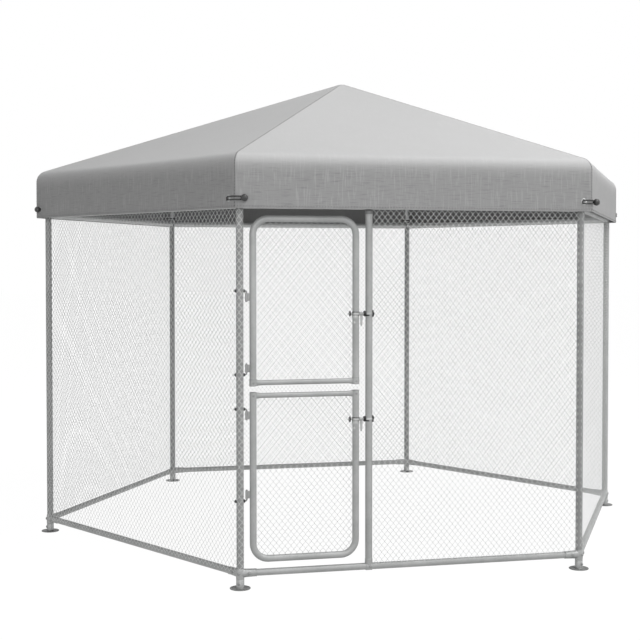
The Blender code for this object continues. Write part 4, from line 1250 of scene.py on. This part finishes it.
def cover_outside(radius, height, along):
    """The outer surface, as (rows, columns, 3), and the place on the cloth of each of its points.

    In a side's own directions, a point of the straight part is at x = f * (h - t) and out = d, with
    h half the side, d its distance and t the part that the rounded corner takes. In the corner, x =
    h - t + r sin a and out = d - r + r cos a. f goes from -1 to 1, and free = 1 - (x / h) squared
    says how far the cloth can give between two rafters. With s from 0 at the shoulder to 1 at the
    point, the slope drops by sag * free * sin(pi * s to the power 0.7) to the power 0.8. The cloth
    goes in by free * (crease / 2 * (sines near the shoulder + 2) + hem wave * (a sine near the hem
    + 1)), less and less towards the point.
    """
    half = radius[:, None] / 2
    distance = radius[:, None] * math.cos(SIXTH / 2)
    rounding = np.minimum(ROUNDING, MOST_ROUNDING * radius)[:, None]
    straight = half - rounding * math.tan(SIXTH / 2)
    f = np.linspace(-1, 1, PANEL_COLUMNS)
    a = np.linspace(0, SIXTH / 2, ARC_COLUMNS + 1)
    arc_x = straight + rounding * np.sin(a)
    arc_out = distance - rounding + rounding * np.cos(a)
    x = np.concatenate([-arc_x[:, :0:-1], f * straight, arc_x[:, 1:]], 1)
    out = np.concatenate([arc_out[:, :0:-1], 0 * f + distance, arc_out[:, 1:]], 1)
    free = 1 - (x / half) ** 2
    shoulder = along[height <= SHOULDER_HEIGHT][-1]
    share = np.clip((along - shoulder) / (along[-1] - shoulder), 0, 1)[:, None]
    at_shoulder = np.exp(-(((along - shoulder) / CREASE_FADES) ** 2))[:, None]
    at_hem = np.exp(-along / HEM_WAVE_FADES)[:, None]
    drop = SAG * free * np.sin(np.pi * share ** SAG_POWERS[0]) ** SAG_POWERS[1]
    sides = []
    places = []
    for index in range(6):
        phase = PHASE_STEP * index
        turns = 2 * np.pi * x
        crease = sum(np.sin(turns / long + shift * phase) for long, shift in CREASE_LENGTHS)
        wave = np.sin(turns / HEM_WAVE_LENGTH + 2 * phase) * at_hem
        inwards = CREASE / 2 * (crease * at_shoulder + 2) * free + HEM_WAVE * (wave + 1) * free
        reach = out - inwards * np.exp(-share * FADE_TO_POINT)
        c, s = math.cos(index * SIXTH), math.sin(index * SIXTH)
        surface = np.stack([x * c + reach * s, x * s - reach * c, height[:, None] - drop], -1)
        sides.append(surface[:, :-1])
        places.append(np.stack([x + PANEL_SHIFT * index, along[:, None] + 0 * x], -1))
    return np.concatenate(sides, 1), np.concatenate(places, 1)


def normals_of(grid):
    """Directions out of the cloth: the step round the cover crossed with the step up it."""
    round_step = np.roll(grid, -1, 1) - np.roll(grid, 1, 1)
    return unit(np.cross(round_step, np.gradient(grid, axis=0)))


cover_skin, cover_places = cover_outside(row_radius, row_height, row_along)
cover_normals = normals_of(cover_skin)
print("cover grid of", cover_skin.shape[:2])

# %% [markdown]
# Cloth has two sides. A Solidify modifier could give it a thickness, but here the lining is the
# same grid moved inwards, so each side has its own finish. Its rows come first, from the point
# down, and the outside goes on from there, so the hem joins the two.

# %% Cover with its lining
lining = cover_skin - CLOTH * cover_normals
rings = np.concatenate([lining[::-1], cover_skin])
cloth_spots = np.concatenate([cover_places[::-1], cover_places])
outside = np.repeat(np.arange(len(rings) - 1) >= len(lining), rings.shape[1])
cover = Shape().add(rings, finish=outside.astype(int), spots=cloth_spots, panels=6)
cover = cover.make("cloth_cover", [LINING_CLOTH, COVER_CLOTH], ["cover"], "cover")
round_steps = np.roll(cover_skin, -1, 1)[:-1] - cover_skin[:-1]

# %% [markdown]
# The panels are sewn at the corners and up the ridges. A seam is a narrow welt of doubled cloth,
# and the hem is stitched too. A painted dashed line would be flat, so stitches are short bars that
# lie on the cloth, and all bars of a line are one array.

# %% Seams and stitches
SEAM = (0.0035, 0.0008)
SEAM_NARROWS_WITHIN = 0.2
SEAM_LEAST_SHARE = 0.2
STITCH = 0.0062
STITCH_PITCH = 0.0142
THREAD = (0.0013, 0.0010)
HEM_STITCH_HEIGHT = 0.010
CORNER_STITCHES = (0.012, 0.25)
STITCH_RINGS = ((-0.5, 0.3), (-0.35, 1), (0.35, 1), (0.5, 0.3))


def stitches_along(line, normals, start, end):
    """Rings of short bars with six sides and tapered ends, as (stitches, 4, 6, 3).

    point = at + way * along + across * cos a * width - out * sin a * thickness, where at lies every
    pitch along the line, way is the line's direction there and out the direction off the cloth.
    """
    distance = distance_along(line)
    wanted = np.arange(start, min(end, distance[-1]), STITCH_PITCH)
    at, ahead, out = (
        np.column_stack([np.interp(wanted, distance, values) for values in each.T])
        for each in (line, np.gradient(line, axis=0), normals)
    )
    way, out = unit(ahead), unit(out)
    across = np.cross(way, out)
    at, way, out, across = (
        each[:, None, None] for each in (at + SEAM[1] * out, way, out, across)
    )
    angle = np.arange(6) * np.pi / 3
    along, size = np.array(STITCH_RINGS).T[:, :, None]
    u = (size * np.cos(angle) * THREAD[0])[..., None]
    v = (size * np.sin(angle) * THREAD[1])[..., None]
    return at + way * (along * STITCH)[..., None] + across * u - out * v


stitches = Shape()
seams = Shape()
hem_share = HEM_STITCH_HEIGHT / row_along[1]
hem_line = cover_skin[0] * (1 - hem_share) + cover_skin[1] * hem_share
hem_line = np.concatenate([hem_line, hem_line[:1]])
hem_normals = np.concatenate([cover_normals[0], cover_normals[0, :1]])
stitches.add(stitches_along(hem_line, hem_normals, 0, math.inf))
seam_width = SEAM[0] * np.clip(row_radius / SEAM_NARROWS_WITHIN, SEAM_LEAST_SHARE, 1)
seam_section = np.column_stack([seam_width, 0 * seam_width + SEAM[1]])
for index in range(6):
    column = index * cover_skin.shape[1] // 6
    line, normals = cover_skin[:, column], cover_normals[:, column]
    stitches.add(stitches_along(line, normals, *CORNER_STITCHES), finish=1)
    round_the_cover = heading(FIRST_CORNER + index * SIXTH + math.pi / 2)
    seams.add(sweep(line[:-1], seam_section[:-1], round_the_cover, 8))
seams.make("cover_seams", [SEAM_CLOTH], slot="cover")
stitches.make("cover_stitches", [HEM_THREAD, SEAM_THREAD], slot="cover")

# %% [markdown]
# Elastic cords hold the skirt to the frame. A loop goes in through one eyelet, behind the rafter's
# foot and out through another, and a ball keeps it there. A short curve would do for what shows,
# but a closed loop is what the cord is, so its two strands are drawn all the way round.

# %% Ball cords
BALL = 0.0175
BALL_POLE = 0.0004
CORD = 0.003
CORD_SPACING = 0.016
CORD_BEND = 0.0032
TAIL_LENGTH = 0.012
EYELET_FROM_SEAM = 0.045
CORD_HEIGHT = POST_TOP + 0.015
off = CORD + SEAT
behind = POST_TUBE + off
seam_point = (COVER_RADIUS - CORNER_RADIUS) * X + CORD_HEIGHT * Z
ways, outs = WALL_WAYS, WALL_OUTS
eyelet_at = {side: seam_point + EYELET_FROM_SEAM * way for side, way in ways.items()}

cord_line = [
    eyelet_at[-1] + off * outs[-1],
    seam_point + off / math.cos(SIXTH / 2) * X,
    eyelet_at[1] + off * outs[1],
    eyelet_at[1] - (CLOTH + off) * outs[1],
    np.array((-behind, behind, CORD_HEIGHT)),
    np.array((-behind, -behind, CORD_HEIGHT)),
    eyelet_at[-1] - (CLOTH + off) * outs[-1],
]
cord = Shape()
strand = rounded(cord_line, CORD_BEND, 5, closed=True)
for side in (-1, 1):
    cord.add(sweep(strand + side * CORD_SPACING / 2 * Z, CORD, Z, 12, closed=True), wrap=True)
half_circle = np.linspace(-np.pi / 2, np.pi / 2, 13)[:, None]
loop = CORD_SPACING / 2 * (np.cos(half_circle) * ways[-1] + np.sin(half_circle) * Z)
cord.add(sweep(cord_line[0] + loop, CORD, outs[-1], 12))
tail = cord_line[0] + CORD_SPACING / 2 * ways[-1]
cord.add(sweep([tail, tail - TAIL_LENGTH * Z], CORD, outs[-1], 12))
ball_angle = np.linspace(0, np.pi, 17)
ball_radius = np.maximum(BALL * np.sin(ball_angle), BALL_POLE)
ball_profile = np.column_stack([-BALL * np.cos(ball_angle), ball_radius])
cord.add(turned(ball_profile, eyelet_at[1] + (BALL + SEAT) * outs[1], outs[1]), finish=1)
cord_finishes = [ELASTIC_CORD, BALL_PLASTIC]
for index, letter in enumerate(CORNERS):
    node, place = [f"ball_cord_{letter}"], corner_place(index)
    cord.make(f"corner_cord_{letter}", cord_finishes, node, "cord", place)

# %% [markdown]
# An eyelet is a metal ring pressed into the cloth, here an oval one for two strands. A torus scaled
# to an oval would stretch its rim, so a flat rim is swept along an oval line. The pieces sewn or
# pressed into the cover are then gathered in a list.

# %% Eyelets, and the pieces on the cover
EYELET = (0.0105, 0.0140)
EYELET_RIM = (0.0014, 0.0034)

eyelets = Shape()
turn = np.linspace(0, 2 * np.pi, 33)[:-1, None]
for side, way in ways.items():
    oval = EYELET[0] * np.cos(turn) * way + EYELET[1] * np.sin(turn) * Z
    ring = sweep(eyelet_at[side] + oval, EYELET_RIM, outs[side], 8, closed=True)
    eyelets.add(ring, wrap=True)
for index, letter in enumerate(CORNERS):
    eyelets.make(f"eyelets_{letter}", [EYELET_ZINC], slot="fitting", place=corner_place(index))

on_cover = ["cover_seams", "cover_stitches", *(f"eyelets_{letter}" for letter in CORNERS)]
on_cover = [bpy.data.objects[name] for name in on_cover]
print(f"the cover was cut from {6 * COVER_RADIUS:.2f} by {row_along[-1]:.2f} m")

# %% [markdown]
# The picture has a white background without a floor line. Strong lamps on a white floor would clip
# the pale metal too. So the floor mixes plain white with a little of the light that falls on it,
# and the kennel's soft shadow stays. It has no gloss, which would mirror the white world near the
# horizon and draw a line there. The world is white where it is seen, also in metal, and dimmer as a
# light.

# %% Floor and world
FLOOR_SEEN = 0.986
FLOOR_GLOW = 0.34
FLOOR_RADIUS = 60.0
AMBIENT = 0.14
FRONT_AMBIENT = 0.30
WHITE = (1, 1, 1, 1)


def seen_directly(nodes):
    """1 for a ray from the camera, from a reflection or through glass, and 0 for a ray of light."""
    kinds = ("Is Camera Ray", "Is Glossy Ray", "Is Transmission Ray")
    camera, glossy, through = (nodes.node("ShaderNodeLightPath", {}, {}, kind) for kind in kinds)
    return camera.maths("MAXIMUM", camera.maths("MAXIMUM", camera, glossy), through)


floor = Finish("studio_floor", Roughness=1.0, Specular_IOR_Level=0.0, Emission_Color=WHITE)
mottle = floor.noise(floor.place(), 3.0)
floor.set("Base Color", floor.blend(mottle, grey(0.045), grey(0.05)))
floor.set("Emission Strength", FLOOR_GLOW + (FLOOR_SEEN - FLOOR_GLOW) * seen_directly(floor))
floor_profile = [(-0.002, FLOOR_RADIUS), (-0.001, FLOOR_RADIUS), (-0.001, 0.5)]
studio = Shape().add(turned(floor_profile, sides=64)).make("studio_floor", [floor.material])

world = bpy.data.worlds.new("studio")
sky = Nodes(world, "Background")
direction = sky.node("ShaderNodeTexCoord", {}, {}, "Generated")
in_front = 1.0 - sky.part_of(direction, "Y").between(-1.0, 0.2)
seen = seen_directly(sky)
sky.set("Color", WHITE)
sky.set("Strength", seen + (1.0 - seen) * (AMBIENT + FRONT_AMBIENT * in_front))
bpy.context.scene.world = world

# %% [markdown]
# The photograph's light is soft and comes mostly from the upper right. A sun lamp would draw hard
# shadows, so four square windows light the kennel: a large one high on the right, a weak one lower
# down, one in front and a faint one on the left.

# %% Lights
WINDOWS = {  # name: place, what it looks at, side in metres, power in watts
    "sky_window": ((3.5, -3.5, 9.0), (0, 0, 1.5), 5.0, 520),
    "side_window": ((8.0, -4.0, 3.0), (0, 0, 1.2), 4.0, 130),
    "front_window": ((-2.0, -9.0, 3.5), (0, -1.5, 1.2), 2.5, 150),
    "left_window": ((-7.0, -3.5, 1.0), (-0.5, -0.5, 0.9), 3.0, 45),
}
for name, (place, aim, size, power) in WINDOWS.items():
    light = bpy.data.lights.new(name, "AREA")
    light.shape = "SQUARE"
    light.size = size
    light.energy = power
    piece = bpy.data.objects.new(name, light)
    piece.location = place
    way = Vector(aim) - Vector(place)
    piece.rotation_euler = way.to_track_quat("-Z", "Y").to_euler()
    bpy.context.scene.collection.objects.link(piece)
    print(f"{name}: {power} W, {way.length:.1f} m away")
bpy.context.scene.view_settings.view_transform = "Standard"
